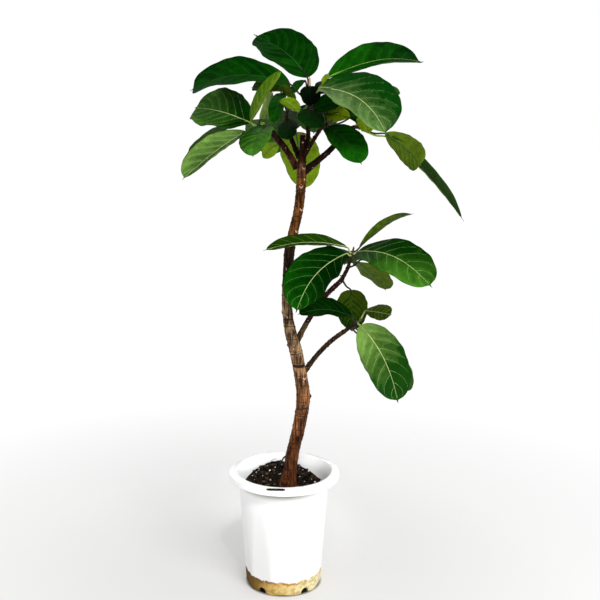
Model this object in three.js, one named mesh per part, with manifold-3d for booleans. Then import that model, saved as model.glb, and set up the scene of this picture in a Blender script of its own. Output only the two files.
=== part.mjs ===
// African prince fig: a young tree with a bent trunk, seven leafy shoots and a white nursery pot.
// Millimetres, +Z up. The origin is the middle of the pot's flat underside.
import * as THREE from "three";
import { mergeVertices } from "three/addons/utils/BufferGeometryUtils.js";
import Module from "manifold-3d";

const wasm = await Module();
wasm.setup();

// Clearance, steps along a path and facet counts
const GAP = 0.3;
const PATH_STEP = 0.02;
const TRUNK_PLACES = 400;
const LIMB_PLACES = 40;
const POT_SIDES = 40;
const TRUNK_SIDES = 12;
const TRUNK_RINGS = 44;
const BOUGH_SIDES = 8;
const BOUGH_RINGS = 9;
const STEM_SIDES = 6;
const STEM_RINGS = 4;
const STALK_SIDES = 4;
const STALK_RINGS = 3;

// Pot: a round cone whose foot is planed to ten flats
const POT = {
  height: 263,
  rimInner: 103,
  rimOuter: 120,
  rimDrop: 5,
  bandHeight: 10,
  bandWall: 2.5,
  neckOuter: 99,
  wall: 2.2,
  flats: 10,
  footCorner: 83,
  archTop: 232,
};
const FOOT = { floorLow: 12, floorHigh: 14.5, padRadius: 28, ringWall: 6 };
const NOTCH = { count: 5, width: 20, height: 11.8, firstFace: 1, inner: 60, depth: 30 };
const FLOOR_HOLE = { radius: 5, circle: 56, sides: 8 };
const SOIL = { top: 225.7, flatRadius: 36, edge: 219 };
// The heap behind the trunk: its middle, its section from the top outwards, and its sides
const HEAP = {
  right: -8,
  back: 55,
  section: [[0, 252], [20, 250], [40, 243], [62, 232], [86, 219]],
  sides: 36,
};

// Trunk: height, how far right and back its middle lies, and its radius
const TRUNK_BENDS = [
  [226, 6.5, 0, 20],
  [245, 10, 0, 16],
  [265, 13.5, 1, 14.5],
  [300, 18, 2, 14.2],
  [340, 27, 3, 14.2],
  [380, 35, 2, 14.3],
  [425, 40, 0, 14.8],
  [460, 37, -2, 14.3],
  [500, 30, -3, 14],
  [540, 21.5, -2, 14.1],
  [575, 11.5, 0, 12.8],
  [610, 5.5, 2, 11.2],
  [655, 3.5, 3, 11],
  [705, 5.5, 4, 11],
  [750, 8, 3, 11],
  [790, 15.5, 1, 10.5],
  [835, 25.5, 0, 10.2],
  [885, 31, -1, 10.1],
  [930, 32, 0, 9.3],
  [960, 33.5, 0, 6.8],
  [997, 33.5, 0, 5.4],
];
const FLARE = { lobes: 5, depth: 0.13, height: 34, turn: 0.6 };
const COLLAR = { swell: 0.3, end: 0.35 };
const KNOBS = [
  { height: 431, bearing: 0, size: 5.5 },
  { height: 398, bearing: 200, size: 4 },
  { height: 545, bearing: 170, size: 4.5 },
  { height: 618, bearing: 185, size: 4 },
  { height: 700, bearing: 20, size: 3.5 },
];
const KNOB_SINK = 0.35;
const AIR_ROOTS = [
  { path: [[8, -2, 296], [-1, -3, 291], [-8, -4, 277]], radii: [2.2, 1.3] },
  { path: [[9, -8, 288], [2, -12, 284], [-1, -13, 275]], radii: [1.8, 1.1] },
];

// Each shoot: its bough's path and end radii, the path of the leafy stem that goes on from the tip, and
// the fill leaves of its hidden side, with lift the rise of their stalks and rise that of their blades
const SHOOTS = {
  crown_left: {
    bough: [[22, -2, 926], [-2, -8, 966], [-28, -12, 998]],
    radii: [6.8, 6],
    stem: [[-28, -12, 998], [-44, -16, 1008], [-62, -22, 1014]],
    fill: { count: 2, bearing: 80, spread: 110, lift: 18, rise: -30, seed: 14 },
  },
  crown_mid: {
    bough: [[27, 8, 946], [11, 27, 980], [1, 38, 1006]],
    radii: [5.4, 4.6],
    stem: [[1, 38, 1006], [0, 44, 1021], [1, 48, 1036]],
    fill: { count: 2, bearing: 60, spread: 50, lift: 18, rise: -15, seed: 21 },
  },
  crown_top: {
    bough: [[40, 6, 966], [45, 4, 990], [42, -2, 1022]],
    radii: [4.8, 4.2],
    stem: [[42, -2, 1022], [43, -6, 1049], [47, -8, 1079]],
    fill: { count: 4, bearing: 20, spread: 50, lift: 18, rise: 0, seed: 21 },
  },
  crown_inner: {
    bough: [[36, -5, 950], [54, -12, 982], [68, -16, 1005]],
    radii: [4.6, 3.8],
    stem: [[68, -16, 1005], [76, -22, 1013], [84, -26, 1019]],
    fill: { count: 1, bearing: 96, spread: 30, lift: 18, rise: -15, seed: 28 },
  },
  crown_right: {
    bough: [[36, 2, 917], [70, 6, 944], [97, 13, 968], [129, 22, 1004]],
    radii: [7, 5],
    stem: [[129, 22, 1004], [144, 26, 1008], [160, 30, 1002]],
    fill: { count: 3, bearing: 70, spread: 50, lift: 18, rise: 0, seed: 21 },
  },
  side_upper: {
    bough: [[22, -1, 548], [50, -1, 603], [84, -2, 654], [117, 0, 687]],
    radii: [5.8, 5.2],
    stem: [[117, 0, 687], [131, -3, 716], [139, -6, 748]],
    fill: { count: 3, bearing: 10, spread: 130, lift: 18, rise: -15, seed: 21 },
  },
  side_lower: {
    bough: [[36, -2, 478], [66, -5, 522], [96, -9, 556], [127, -12, 581]],
    radii: [5.4, 4.8],
    stem: [[127, -12, 581], [139, -16, 591], [152, -20, 602]],
    fill: { count: 3, bearing: 20, spread: 50, lift: -40, rise: -50, seed: 21 },
  },
};

// Leaves that show from the front. Angles are in degrees; bearing 0 points right and 90 points back.
// at: place along the stem; stalk: bearing, rise, length; blade: bearing, rise, length, width;
// pose: roll, bow (share of length), sweep (share of length), cup, share of the length at its widest
const LEAVES = {
  crown_top: [
    { at: 0.85, stalk: [103, 65, 40], blade: [128, 24, 193, 115], pose: [-22, 0.02, -0.07, 31, 0.53] },
    { at: 0.75, stalk: [171, 38, 49], blade: [169, -5, 210, 106], pose: [-29, 0.14, -0.01, 25, 0.64] },
    { at: 0.95, stalk: [44, 30, 61], blade: [28, 7, 231, 95], pose: [27, 0.11, -0.01, 43, 0.62] },
    { at: 0.8, stalk: [301, 27, 50], blade: [311, -23, 201, 133], pose: [19, 0.1, 0.09, 34, 0.5] },
    { at: 0.6, stalk: [217, -30, 27], blade: [239, 23, 75, 30], pose: [27, 0.05, 0.02, 16, 0.56] },
    { at: 1, stalk: [271, 45, 20], blade: [276, -67, 41, 46], pose: [5, 0.07, -0.01, 44, 0.51] },
    { at: 0.3, stalk: [285, 23, 26], blade: [269, -19, 90, 56], pose: [-13, 0.04, 0, 9, 0.62] },
    { at: 0.9, stalk: [121, 59, 32], blade: [211, -43, 36, 33], pose: [-6, 0.1, -0.01, 36, 0.55] },
    { at: 0.5, stalk: [343, -9, 11], blade: [3, 17, 62, 44], pose: [48, 0.06, -0.01, 20, 0.52] },
    { at: 1, stalk: [24, 25, 32], blade: [39, 60, 28, 17], pose: [4, 0.08, -0.05, 35, 0.54] },
  ],
  crown_left: [
    { at: 1, stalk: [130, 12, 18], blade: [137, 7, 167, 107], pose: [-44, 0.05, -0.02, 26, 0.58] },
    { at: 0.9, stalk: [222, -18, 30], blade: [227, -25, 193, 92], pose: [-1, 0.06, 0.04, 41, 0.5] },
    { at: 0.5, stalk: [276, 14, 28], blade: [259, -22, 130, 66], pose: [7, 0.06, -0.04, 18, 0.52] },
    { at: 0.95, stalk: [248, 21, 30], blade: [308, 46, 146, 42], pose: [76, 0.06, -0.03, 36, 0.49] },
    { at: 0.6, stalk: [102, 9, 35], blade: [75, 29, 117, 40], pose: [82, -0.02, -0.03, 5, 0.53] },
    { at: 0.05, stalk: [73, -35, 50], blade: [118, -27, 80, 31], pose: [59, 0.03, 0.05, 25, 0.6] },
  ],
  crown_mid: [
    { at: 1, stalk: [142, 68, 41], blade: [264, -21, 146, 34], pose: [7, 0.08, 0.02, 26, 0.59] },
    { at: 0.6, stalk: [297, -12, 32], blade: [264, -15, 104, 40], pose: [0, 0.06, -0.06, 16, 0.61] },
    { at: 0.1, stalk: [343, -33, 23], blade: [79, -49, 183, 86], pose: [-3, 0.07, 0.01, 17, 0.52] },
    { at: 1, stalk: [24, 49, 28], blade: [225, 39, 56, 24], pose: [25, 0.06, -0.01, 16, 0.57] },
    { at: 1, stalk: [68, 63, 48], blade: [162, 2, 88, 55], pose: [-38, 0.08, -0.01, 31, 0.58] },
  ],
  crown_inner: [
    { at: 0.5, stalk: [295, -1, 11], blade: [304, -28, 135, 67], pose: [22, 0.09, 0.03, 24, 0.58] },
    { at: 0.9, stalk: [46, 7, 68], blade: [121, -1, 98, 45], pose: [-45, 0.05, 0.01, 25, 0.58] },
  ],
  crown_right: [
    { at: 0.4, stalk: [310, 50, 27], blade: [279, -20, 75, 34], pose: [0, 0.05, 0, 20, 0.59] },
    { at: 1, stalk: [354, -9, 45], blade: [312, -29, 116, 59], pose: [-101, 0.09, -0.02, 20, 0.66] },
    { at: 0.9, stalk: [-2, -17, 54], blade: [333, -43, 236, 66], pose: [-37, 0.05, 0.03, 36, 0.45] },
  ],
  side_upper: [
    { at: 0.95, stalk: [208, 53, 19], blade: [198, 1, 182, 51], pose: [-19, 0.09, 0, 32, 0.5] },
    { at: 0.9, stalk: [237, 17, 23], blade: [233, -28, 196, 106], pose: [-17, 0.07, -0.08, 40, 0.56] },
    { at: 1, stalk: [33, 27, 21], blade: [42, 18, 174, 32], pose: [3, 0.11, -0.02, 28, 0.61] },
    { at: 0.95, stalk: [336, 25, 14], blade: [312, -11, 212, 100], pose: [27, 0.12, 0.05, 10, 0.58] },
    { at: 0.7, stalk: [42, -10, 26], blade: [56, -35, 148, 78], pose: [0, 0.04, 0.02, 15, 0.58] },
    { at: 0.1, stalk: [56, -39, 48], blade: [276, -74, 89, 69], pose: [2, 0.05, 0.01, 25, 0.44] },
  ],
  side_lower: [
    { at: 0.9, stalk: [206, 52, 18], blade: [191, 5, 117, 60], pose: [-29, 0.12, -0.04, 35, 0.57] },
    { at: 1, stalk: [55, 30, 37], blade: [302, 7, 93, 38], pose: [52, 0.02, 0.01, 14, 0.72] },
    { at: 1, stalk: [305, -21, 12], blade: [303, -45, 189, 91], pose: [35, 0.05, 0.07, 13, 0.54] },
  ],
};

// Leaf shape: widest past the middle, with a short drip tip, and lens-thick across the midrib
const BLADE = { bodyEnd: 0.965, tipFrom: 0.93, tipSlope: 1.2, thickness: 2.4 };
const BLADE_STATIONS = [0.07, 0.27, 0.52, 0.76, 0.93];
const BLADE_COLUMNS = [-1, -0.5, 0, 0.5, 1];
const STALK = { radius: 2.4, tip: 1.5, sag: 0.08, overlap: 0.14 };
const STEM_START = 0.94;
const STEM_TIP_RADIUS = 2.6;
const FILL = {
  first: 0.9,
  run: 0.6,
  stalk: 26,
  stalkSpread: 18,
  length: 150,
  lengthSpread: 45,
  widthShare: 0.52,
  riseSpread: 10,
  rollSpread: 24,
  bow: 0.1,
  cup: 18,
  widest: 0.58,
};
const GOLDEN_SECTION = 0.618;
const LIMB_CLEARANCE = 14;
const SHOOT_REACH = 310;

const radians = THREE.MathUtils.degToRad;

// Materials
function finish(color, roughness) {
  return new THREE.MeshStandardMaterial({ color, roughness, metalness: 0 });
}
const potMaterial = () => finish(0xf2f2ef, 0.35);
const soilMaterial = () => finish(0x2a211a, 0.95);
const barkMaterial = () => finish(0x7a5a42, 0.85);
const foliageMaterial = () => finish(0x1f5a1c, 0.45);

// Solids
function solidOf(geometry) {
  const bare = geometry.clone();
  bare.deleteAttribute("normal");
  bare.deleteAttribute("uv");
  const merged = mergeVertices(bare, 1e-4);
  return new wasm.Manifold(
    new wasm.Mesh({
      numProp: 3,
      vertProperties: new Float32Array(merged.attributes.position.array),
      triVerts: new Uint32Array(merged.index.array),
    }),
  );
}

function geometryOf(solid) {
  const mesh = solid.getMesh();
  const geometry = new THREE.BufferGeometry();
  geometry.setAttribute("position", new THREE.BufferAttribute(mesh.vertProperties, mesh.numProp));
  geometry.setIndex(new THREE.BufferAttribute(mesh.triVerts, 1));
  return geometry;
}

// The largest connected body: sealed hollows and loose scraps fall away
function mainBody(solid) {
  const bodies = solid.decompose();
  return bodies.reduce((best, body) => (body.volume() > best.volume() ? body : best));
}

function lathe(profile, sides) {
  const points = profile.map(([radius, height]) => new THREE.Vector2(radius, height));
  const geometry = new THREE.LatheGeometry(points, sides);
  geometry.rotateX(Math.PI / 2);
  return geometry;
}

function meshOf(name, geometry, material) {
  const mesh = new THREE.Mesh(geometry, material);
  mesh.name = name;
  return mesh;
}

// Paths and limbs
function along(points, share) {
  const last = points.length - 1;
  const place = Math.min(Math.max(share, 0), 1) * last;
  const k = Math.min(Math.floor(place), last - 1);
  const t = place - k;
  const before = points[Math.max(k - 1, 0)];
  const from = points[k];
  const to = points[k + 1];
  const after = points[Math.min(k + 2, last)];
  return from.map((value, i) => {
    const slopeIn = (to[i] - before[i]) / 2;
    const slopeOut = (after[i] - value) / 2;
    const span = to[i] - value;
    const bend = 3 * span - 2 * slopeIn - slopeOut;
    return value + t * (slopeIn + t * (bend + t * (slopeIn + slopeOut - 2 * span)));
  });
}

function pointOn(points, share) {
  return new THREE.Vector3(...along(points, share).slice(0, 3));
}

// A closed tube: one ring of points for each entry of rings, with flat ends
function tubeOf(rings) {
  const sides = rings[0].length;
  const positions = [];
  const index = [];
  rings.forEach((ring) => ring.forEach((point) => positions.push(point.x, point.y, point.z)));
  for (let i = 0; i < rings.length - 1; i += 1) {
    for (let j = 0; j < sides; j += 1) {
      const a = i * sides + j;
      const b = i * sides + ((j + 1) % sides);
      index.push(a, b, b + sides, a, b + sides, a + sides);
    }
  }
  const top = (rings.length - 1) * sides;
  for (let j = 1; j < sides - 1; j += 1) {
    index.push(0, j + 1, j, top, top + j, top + j + 1);
  }
  const geometry = new THREE.BufferGeometry();
  geometry.setAttribute("position", new THREE.Float32BufferAttribute(positions, 3));
  geometry.setIndex(index);
  return geometry;
}

function limb(points, radiusAt, sides, count) {
  const chord = pointOn(points, 1).sub(pointOn(points, 0)).normalize();
  const reference = Math.abs(chord.y) < 0.8 ? new THREE.Vector3(0, 1, 0) : new THREE.Vector3(1, 0, 0);
  const rings = [];
  for (let i = 0; i <= count; i += 1) {
    const share = i / count;
    const middle = pointOn(points, share);
    const before = pointOn(points, share - PATH_STEP);
    const ahead = pointOn(points, share + PATH_STEP).sub(before).normalize();
    const side = new THREE.Vector3().crossVectors(reference, ahead).normalize();
    const up = new THREE.Vector3().crossVectors(ahead, side);
    const ring = [];
    for (let j = 0; j < sides; j += 1) {
      const angle = (2 * Math.PI * j) / sides;
      const radius = radiusAt(share);
      const across = middle.clone().addScaledVector(side, radius * Math.cos(angle));
      ring.push(across.addScaledVector(up, radius * Math.sin(angle)));
    }
    rings.push(ring);
  }
  return tubeOf(rings);
}

const taper = (from, to) => (share) => from + (to - from) * share;

// Pot
const neckHeight = () => POT.height - POT.rimDrop - POT.bandHeight;

function coneRadius(height) {
  return POT.footCorner + ((POT.neckOuter - POT.footCorner) * height) / neckHeight();
}

function frustum(radius, low, high, sides) {
  return lathe([[0, low], [radius(low), low], [radius(high), high], [0, high]], sides);
}

function potCone(inset, low, high) {
  return solidOf(frustum((height) => coneRadius(height) - inset, low, high, POT_SIDES));
}

function potFlats(inset, low, high) {
  const half = Math.PI / POT.flats;
  const footFlat = POT.footCorner * Math.cos(half);
  const slope = (coneRadius(POT.archTop) - footFlat) / POT.archTop;
  const corner = (height) => (footFlat + slope * height - inset) / Math.cos(half);
  const geometry = frustum(corner, low, high, POT.flats);
  geometry.rotateZ(half);
  return solidOf(geometry);
}

function potBody(inset, low, high) {
  return potCone(inset, low, high).intersect(potFlats(inset, low, high));
}

function potRim() {
  const crease = POT.height - POT.rimDrop;
  const band = neckHeight();
  const neckInner = POT.neckOuter - POT.wall;
  return solidOf(
    lathe(
      [
        [neckInner, band - 2],
        [POT.neckOuter + 0.4, band - 2],
        [POT.neckOuter + 1.4, band + 3],
        [POT.rimInner + 1.5, POT.height - 3.2],
        [POT.rimOuter - POT.bandWall, crease - 2],
        [POT.rimOuter - POT.bandWall, band],
        [POT.rimOuter - 0.6, band],
        [POT.rimOuter, band + 0.8],
        [POT.rimOuter, crease - 1],
        [POT.rimOuter - 1.2, crease + 0.4],
        [POT.rimInner + 1.4, POT.height],
        [POT.rimInner, POT.height - 0.9],
        [neckInner, band - 2],
      ],
      POT_SIDES,
    ),
  );
}

function drainNotch(face) {
  const half = NOTCH.width / 2;
  const shape = new THREE.Shape();
  shape.moveTo(-half, -1);
  shape.lineTo(half, -1);
  shape.lineTo(half, NOTCH.height - half);
  shape.absarc(0, NOTCH.height - half, half, 0, Math.PI, false);
  shape.lineTo(-half, -1);
  const run = { depth: NOTCH.depth, bevelEnabled: false, curveSegments: 4 };
  const geometry = new THREE.ExtrudeGeometry(shape, run);
  geometry.rotateX(Math.PI / 2);
  geometry.translate(0, -NOTCH.inner, 0);
  geometry.rotateZ((2 * Math.PI * face) / POT.flats);
  return solidOf(geometry);
}

function floorHole(face) {
  const profile = [
    [0, FOOT.floorLow - 2],
    [FLOOR_HOLE.radius, FOOT.floorLow - 2],
    [FLOOR_HOLE.radius, FOOT.floorHigh + 2],
    [0, FOOT.floorHigh + 2],
  ];
  const geometry = lathe(profile, FLOOR_HOLE.sides);
  geometry.translate(0, -FLOOR_HOLE.circle, 0);
  geometry.rotateZ((2 * Math.PI * face) / POT.flats);
  return solidOf(geometry);
}

function pot() {
  const neck = neckHeight();
  const ringInner = POT.footCorner * Math.cos(Math.PI / POT.flats) - FOOT.ringWall;
  const recess = solidOf(
    lathe(
      [
        [FOOT.padRadius, -1],
        [ringInner, -1],
        [ringInner, FOOT.floorLow],
        [FOOT.padRadius, FOOT.floorLow],
        [FOOT.padRadius, -1],
      ],
      POT_SIDES / 2,
    ),
  );
  let shell = potBody(0, 0, neck)
    .subtract(potBody(POT.wall, FOOT.floorHigh, neck + 5))
    .add(potRim())
    .subtract(recess);
  for (let i = 0; i < NOTCH.count; i += 1) {
    const face = NOTCH.firstFace + (i * POT.flats) / NOTCH.count;
    shell = shell.subtract(drainNotch(face)).subtract(floorHole(face));
  }
  return meshOf("pot", geometryOf(mainBody(shell)), potMaterial());
}

// The heap's section turned round its middle, down to below the mound's edge
function soilHeap() {
  const foot = SOIL.edge - 5;
  const [top] = HEAP.section;
  const outside = HEAP.section.at(-1);
  const profile = [[0, foot], [outside[0], foot], ...[...HEAP.section].reverse(), top];
  const geometry = lathe(profile.slice(0, -1), HEAP.sides);
  geometry.translate(HEAP.right, HEAP.back, 0);
  return solidOf(geometry);
}

function soil() {
  const low = FOOT.floorHigh + GAP;
  const mound = lathe(
    [
      [0, low],
      [POT.rimInner, low],
      [POT.rimInner, SOIL.edge],
      [SOIL.flatRadius, SOIL.top],
      [0, SOIL.top],
    ],
    POT_SIDES / 2,
  );
  const inside = potBody(POT.wall + GAP, FOOT.floorHigh, HEAP.section[0][1] + 5);
  const solid = inside.intersect(solidOf(mound).add(soilHeap())).subtract(trunkTube(GAP));
  return meshOf("soil", geometryOf(mainBody(solid)), soilMaterial());
}

// Trunk
function trunkTube(extra) {
  const rings = [];
  for (let i = 0; i <= TRUNK_RINGS; i += 1) {
    const [height, x, y, radius] = along(TRUNK_BENDS, i / TRUNK_RINGS);
    const flare = Math.max(0, 1 - (height - TRUNK_BENDS[0][0]) / FLARE.height);
    const ring = [];
    for (let j = 0; j < TRUNK_SIDES; j += 1) {
      const angle = (2 * Math.PI * j) / TRUNK_SIDES;
      const lobe = 1 + FLARE.depth * flare * flare * Math.cos(FLARE.lobes * angle + FLARE.turn);
      const reach = radius * lobe + extra;
      ring.push(new THREE.Vector3(x + reach * Math.cos(angle), y + reach * Math.sin(angle), height));
    }
    rings.push(ring);
  }
  return solidOf(tubeOf(rings));
}

function trunkAt(height) {
  let best = TRUNK_BENDS[0];
  for (let i = 0; i <= TRUNK_PLACES; i += 1) {
    const here = along(TRUNK_BENDS, i / TRUNK_PLACES);
    if (Math.abs(here[0] - height) < Math.abs(best[0] - height)) {
      best = here;
    }
  }
  return best;
}

function knob({ height, bearing, size }) {
  const [, x, y, radius] = trunkAt(height);
  const geometry = new THREE.IcosahedronGeometry(size, 1);
  const reach = radius - KNOB_SINK * size;
  const angle = radians(bearing);
  geometry.translate(x + reach * Math.cos(angle), y + reach * Math.sin(angle), height);
  return solidOf(geometry);
}

function trunk() {
  let solid = trunkTube(0);
  KNOBS.forEach((item) => {
    solid = solid.add(knob(item));
  });
  AIR_ROOTS.forEach(({ path, radii }) => {
    solid = solid.add(solidOf(limb(path, taper(...radii), STALK_SIDES, STALK_RINGS)));
  });
  return meshOf("trunk", geometryOf(mainBody(solid)), barkMaterial());
}

// Boughs: each starts inside the trunk, is cut back to its surface, and swells at that foot
function boughTube({ bough: path, radii }, extra) {
  const radiusAt = (share) => {
    const foot = Math.max(0, 1 - share / COLLAR.end);
    return taper(...radii)(share) * (1 + COLLAR.swell * foot * foot) + extra;
  };
  const tip = pointOn(path, 1);
  const ahead = tip.clone().sub(pointOn(path, 1 - PATH_STEP)).normalize();
  const end = tip.addScaledVector(ahead, extra).toArray();
  return solidOf(limb([...path.slice(0, -1), end], radiusAt, BOUGH_SIDES, BOUGH_RINGS));
}

function bough(name, clearOfTrunk) {
  const solid = boughTube(SHOOTS[name], 0).subtract(clearOfTrunk);
  return meshOf(`bough_${name}`, geometryOf(mainBody(solid)), barkMaterial());
}

// Leaves
function direction(bearing, rise) {
  const b = radians(bearing);
  const r = radians(rise);
  return new THREE.Vector3(Math.cos(r) * Math.cos(b), Math.cos(r) * Math.sin(b), Math.sin(r));
}

function halfWidth(share, widest) {
  const body = Math.min(share / BLADE.bodyEnd, 1);
  const rest = 1 - widest;
  const full = (body / widest) ** widest * ((1 - body) / rest) ** rest;
  return share > BLADE.tipFrom ? Math.max(full, BLADE.tipSlope * (1 - share)) : full;
}

// The blade's frame at a share of its length: its middle, its left side and its upper side
function bladeFrame(base, leaf, share) {
  const [bearing, rise, length] = leaf.blade;
  const [roll, bow, sweep] = leaf.pose;
  const chord = direction(bearing, rise);
  const level = direction(bearing + 90, 0);
  const above = new THREE.Vector3().crossVectors(chord, level);
  const side = level.clone().applyAxisAngle(chord, radians(roll));
  const up = above.clone().applyAxisAngle(chord, radians(roll));
  const bulge = 4 * share * (1 - share);
  const slope = 4 * (1 - 2 * share);
  const middle = base
    .clone()
    .addScaledVector(chord, length * share)
    .addScaledVector(up, length * bow * bulge)
    .addScaledVector(side, length * sweep * bulge);
  const pitch = Math.atan(bow * slope);
  const yaw = Math.atan(sweep * slope);
  return {
    middle,
    side: side.multiplyScalar(Math.cos(yaw)).addScaledVector(chord, -Math.sin(yaw)),
    up: up.multiplyScalar(Math.cos(pitch)).addScaledVector(chord, -Math.sin(pitch)),
  };
}

function bladePoint(frame, leaf, share, across, lift) {
  const [, , , cupAngle, widest] = leaf.pose;
  const half = (leaf.blade[3] / 2) * halfWidth(share, widest);
  const cup = radians(cupAngle) + 1e-6;
  return frame.middle
    .clone()
    .addScaledVector(frame.side, (half * Math.sin(across * cup)) / cup)
    .addScaledVector(frame.up, (half * (1 - Math.cos(across * cup))) / cup + lift);
}

// A closed lens-shaped blade: two skins that share their edge and both end points
function blade(base, leaf) {
  const columns = BLADE_COLUMNS.length;
  const positions = [];
  const index = [];
  const push = (point) => positions.push(point.x, point.y, point.z) / 3 - 1;
  const rows = BLADE_STATIONS.map((share) => {
    const frame = bladeFrame(base, leaf, share);
    const half = BLADE.thickness / 2;
    const upper = BLADE_COLUMNS.map((v) => push(bladePoint(frame, leaf, share, v, half * (1 - v * v))));
    const lower = BLADE_COLUMNS.map((v, j) => {
      const isEdge = j === 0 || j === columns - 1;
      return isEdge ? upper[j] : push(bladePoint(frame, leaf, share, v, -half * (1 - v * v)));
    });
    return { upper, lower };
  });
  const start = push(bladeFrame(base, leaf, 0).middle);
  const end = push(bladeFrame(base, leaf, 1).middle);
  for (let i = 0; i < rows.length - 1; i += 1) {
    for (let j = 0; j < columns - 1; j += 1) {
      const near = rows[i];
      const far = rows[i + 1];
      index.push(near.upper[j], far.upper[j], far.upper[j + 1]);
      index.push(near.upper[j], far.upper[j + 1], near.upper[j + 1]);
      index.push(near.lower[j], far.lower[j + 1], far.lower[j]);
      index.push(near.lower[j], near.lower[j + 1], far.lower[j + 1]);
    }
  }
  const first = rows[0];
  const last = rows[rows.length - 1];
  for (let j = 0; j < columns - 1; j += 1) {
    index.push(start, first.upper[j], first.upper[j + 1], start, first.lower[j + 1], first.lower[j]);
    index.push(end, last.upper[j + 1], last.upper[j], end, last.lower[j], last.lower[j + 1]);
  }
  const geometry = new THREE.BufferGeometry();
  geometry.setAttribute("position", new THREE.Float32BufferAttribute(positions, 3));
  geometry.setIndex(index);
  return solidOf(geometry);
}

function leafBase(stem, leaf) {
  const [bearing, rise, length] = leaf.stalk;
  return pointOn(stem, leaf.at).addScaledVector(direction(bearing, rise), length);
}

function stalk(stem, leaf) {
  const root = pointOn(stem, leaf.at);
  const base = leafBase(stem, leaf);
  const sag = new THREE.Vector3(0, 0, -STALK.sag * leaf.stalk[2]);
  const middle = root.clone().lerp(base, 0.5).add(sag);
  const inside = bladeFrame(base, leaf, STALK.overlap).middle;
  const path = [root, middle, base, inside].map((point) => point.toArray());
  return solidOf(limb(path, taper(STALK.radius, STALK.tip), STALK_SIDES, STALK_RINGS));
}

function isClearOf(path, point) {
  for (let i = 0; i <= LIMB_PLACES; i += 1) {
    if (pointOn(path, i / LIMB_PLACES).distanceTo(point) < LIMB_CLEARANCE) {
      return false;
    }
  }
  return true;
}

// A leaf whose blade would touch a limb, or reach out of its shoot's space, is left out
function hasRoom(stem, leaf) {
  const base = leafBase(stem, leaf);
  const heart = pointOn(stem, 0.5);
  const limbs = Object.values(SHOOTS).map(({ bough: path }) => path);
  limbs.push(TRUNK_BENDS.map(([height, x, y]) => [x, y, height]));
  return BLADE_STATIONS.every((share) => {
    const frame = bladeFrame(base, leaf, share);
    return [-1, 0, 1].every((across) => {
      const point = bladePoint(frame, leaf, share, across, 0);
      const isInside = point.distanceTo(heart) < SHOOT_REACH;
      return isInside && limbs.every((path) => isClearOf(path, point));
    });
  });
}

// Leaves of the hidden side, spread round the stem by the golden section with seeded sizes
function fillLeaves({ fill, stem }) {
  let state = fill.seed;
  const random = () => {
    state = (Math.imul(state, 1664525) + 1013904223) >>> 0;
    return state / 4294967296;
  };
  const leaves = [];
  for (let i = 0; i < fill.count; i += 1) {
    const bearing = fill.bearing + fill.spread * ((i * GOLDEN_SECTION) % 1);
    const rise = fill.rise - FILL.riseSpread * random();
    const length = FILL.length + FILL.lengthSpread * random();
    const stalkLength = FILL.stalk + FILL.stalkSpread * random();
    const roll = FILL.rollSpread * (random() - 0.5);
    const leaf = {
      at: FILL.first - FILL.run * (i / fill.count),
      stalk: [bearing, fill.lift, stalkLength],
      blade: [bearing, rise, length, length * FILL.widthShare],
      pose: [roll, FILL.bow, 0, FILL.cup, FILL.widest],
    };
    if (hasRoom(stem, leaf)) {
      leaves.push(leaf);
    }
  }
  return leaves;
}

// A mass: the stem goes on from its bough's tip, and stalks and blades are sunk into it
function foliage(name) {
  const { stem, radii } = SHOOTS[name];
  const radiusAt = taper(radii[1] * STEM_START, STEM_TIP_RADIUS);
  let solid = solidOf(limb(stem, radiusAt, STEM_SIDES, STEM_RINGS));
  [...LEAVES[name], ...fillLeaves(SHOOTS[name])].forEach((leaf) => {
    solid = solid.add(stalk(stem, leaf)).add(blade(leafBase(stem, leaf), leaf));
  });
  solid = solid.subtract(boughTube(SHOOTS[name], GAP));
  return meshOf(`foliage_${name}`, geometryOf(mainBody(solid)), foliageMaterial());
}

function plant() {
  const group = new THREE.Group();
  group.add(trunk());
  const clearOfTrunk = trunkTube(GAP);
  Object.keys(SHOOTS).forEach((name) => {
    group.add(bough(name, clearOfTrunk));
    group.add(foliage(name));
  });
  return group;
}

const tree = new THREE.Group();
tree.add(pot());
tree.add(soil());
tree.add(plant());

export default tree;
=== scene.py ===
import math

import bmesh
import bpy
import numpy as np
from mathutils import Matrix, Vector, noise


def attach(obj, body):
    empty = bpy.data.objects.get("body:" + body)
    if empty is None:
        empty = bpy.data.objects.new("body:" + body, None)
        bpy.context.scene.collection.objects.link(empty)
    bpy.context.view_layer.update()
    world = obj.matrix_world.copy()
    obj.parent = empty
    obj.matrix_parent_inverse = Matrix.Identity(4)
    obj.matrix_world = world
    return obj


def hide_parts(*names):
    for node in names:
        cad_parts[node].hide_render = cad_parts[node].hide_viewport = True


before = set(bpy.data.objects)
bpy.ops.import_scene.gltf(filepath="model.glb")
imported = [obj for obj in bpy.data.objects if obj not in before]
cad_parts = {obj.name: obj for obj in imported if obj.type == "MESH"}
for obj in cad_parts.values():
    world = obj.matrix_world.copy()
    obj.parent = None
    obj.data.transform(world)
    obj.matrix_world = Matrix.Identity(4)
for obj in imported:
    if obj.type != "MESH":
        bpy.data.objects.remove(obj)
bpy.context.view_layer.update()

# African prince fig: a bent trunk with seven leafy shoots in a white nursery pot. Metres, +Z up.

# Camera, as the photograph was taken
EYE = (0.0, -2.471, 1.245)
PITCH = 13.65
YAW = 0.72
ROLL = 0.54
LENS_MM = 72.0
SENSOR_MM = 36.0

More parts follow.
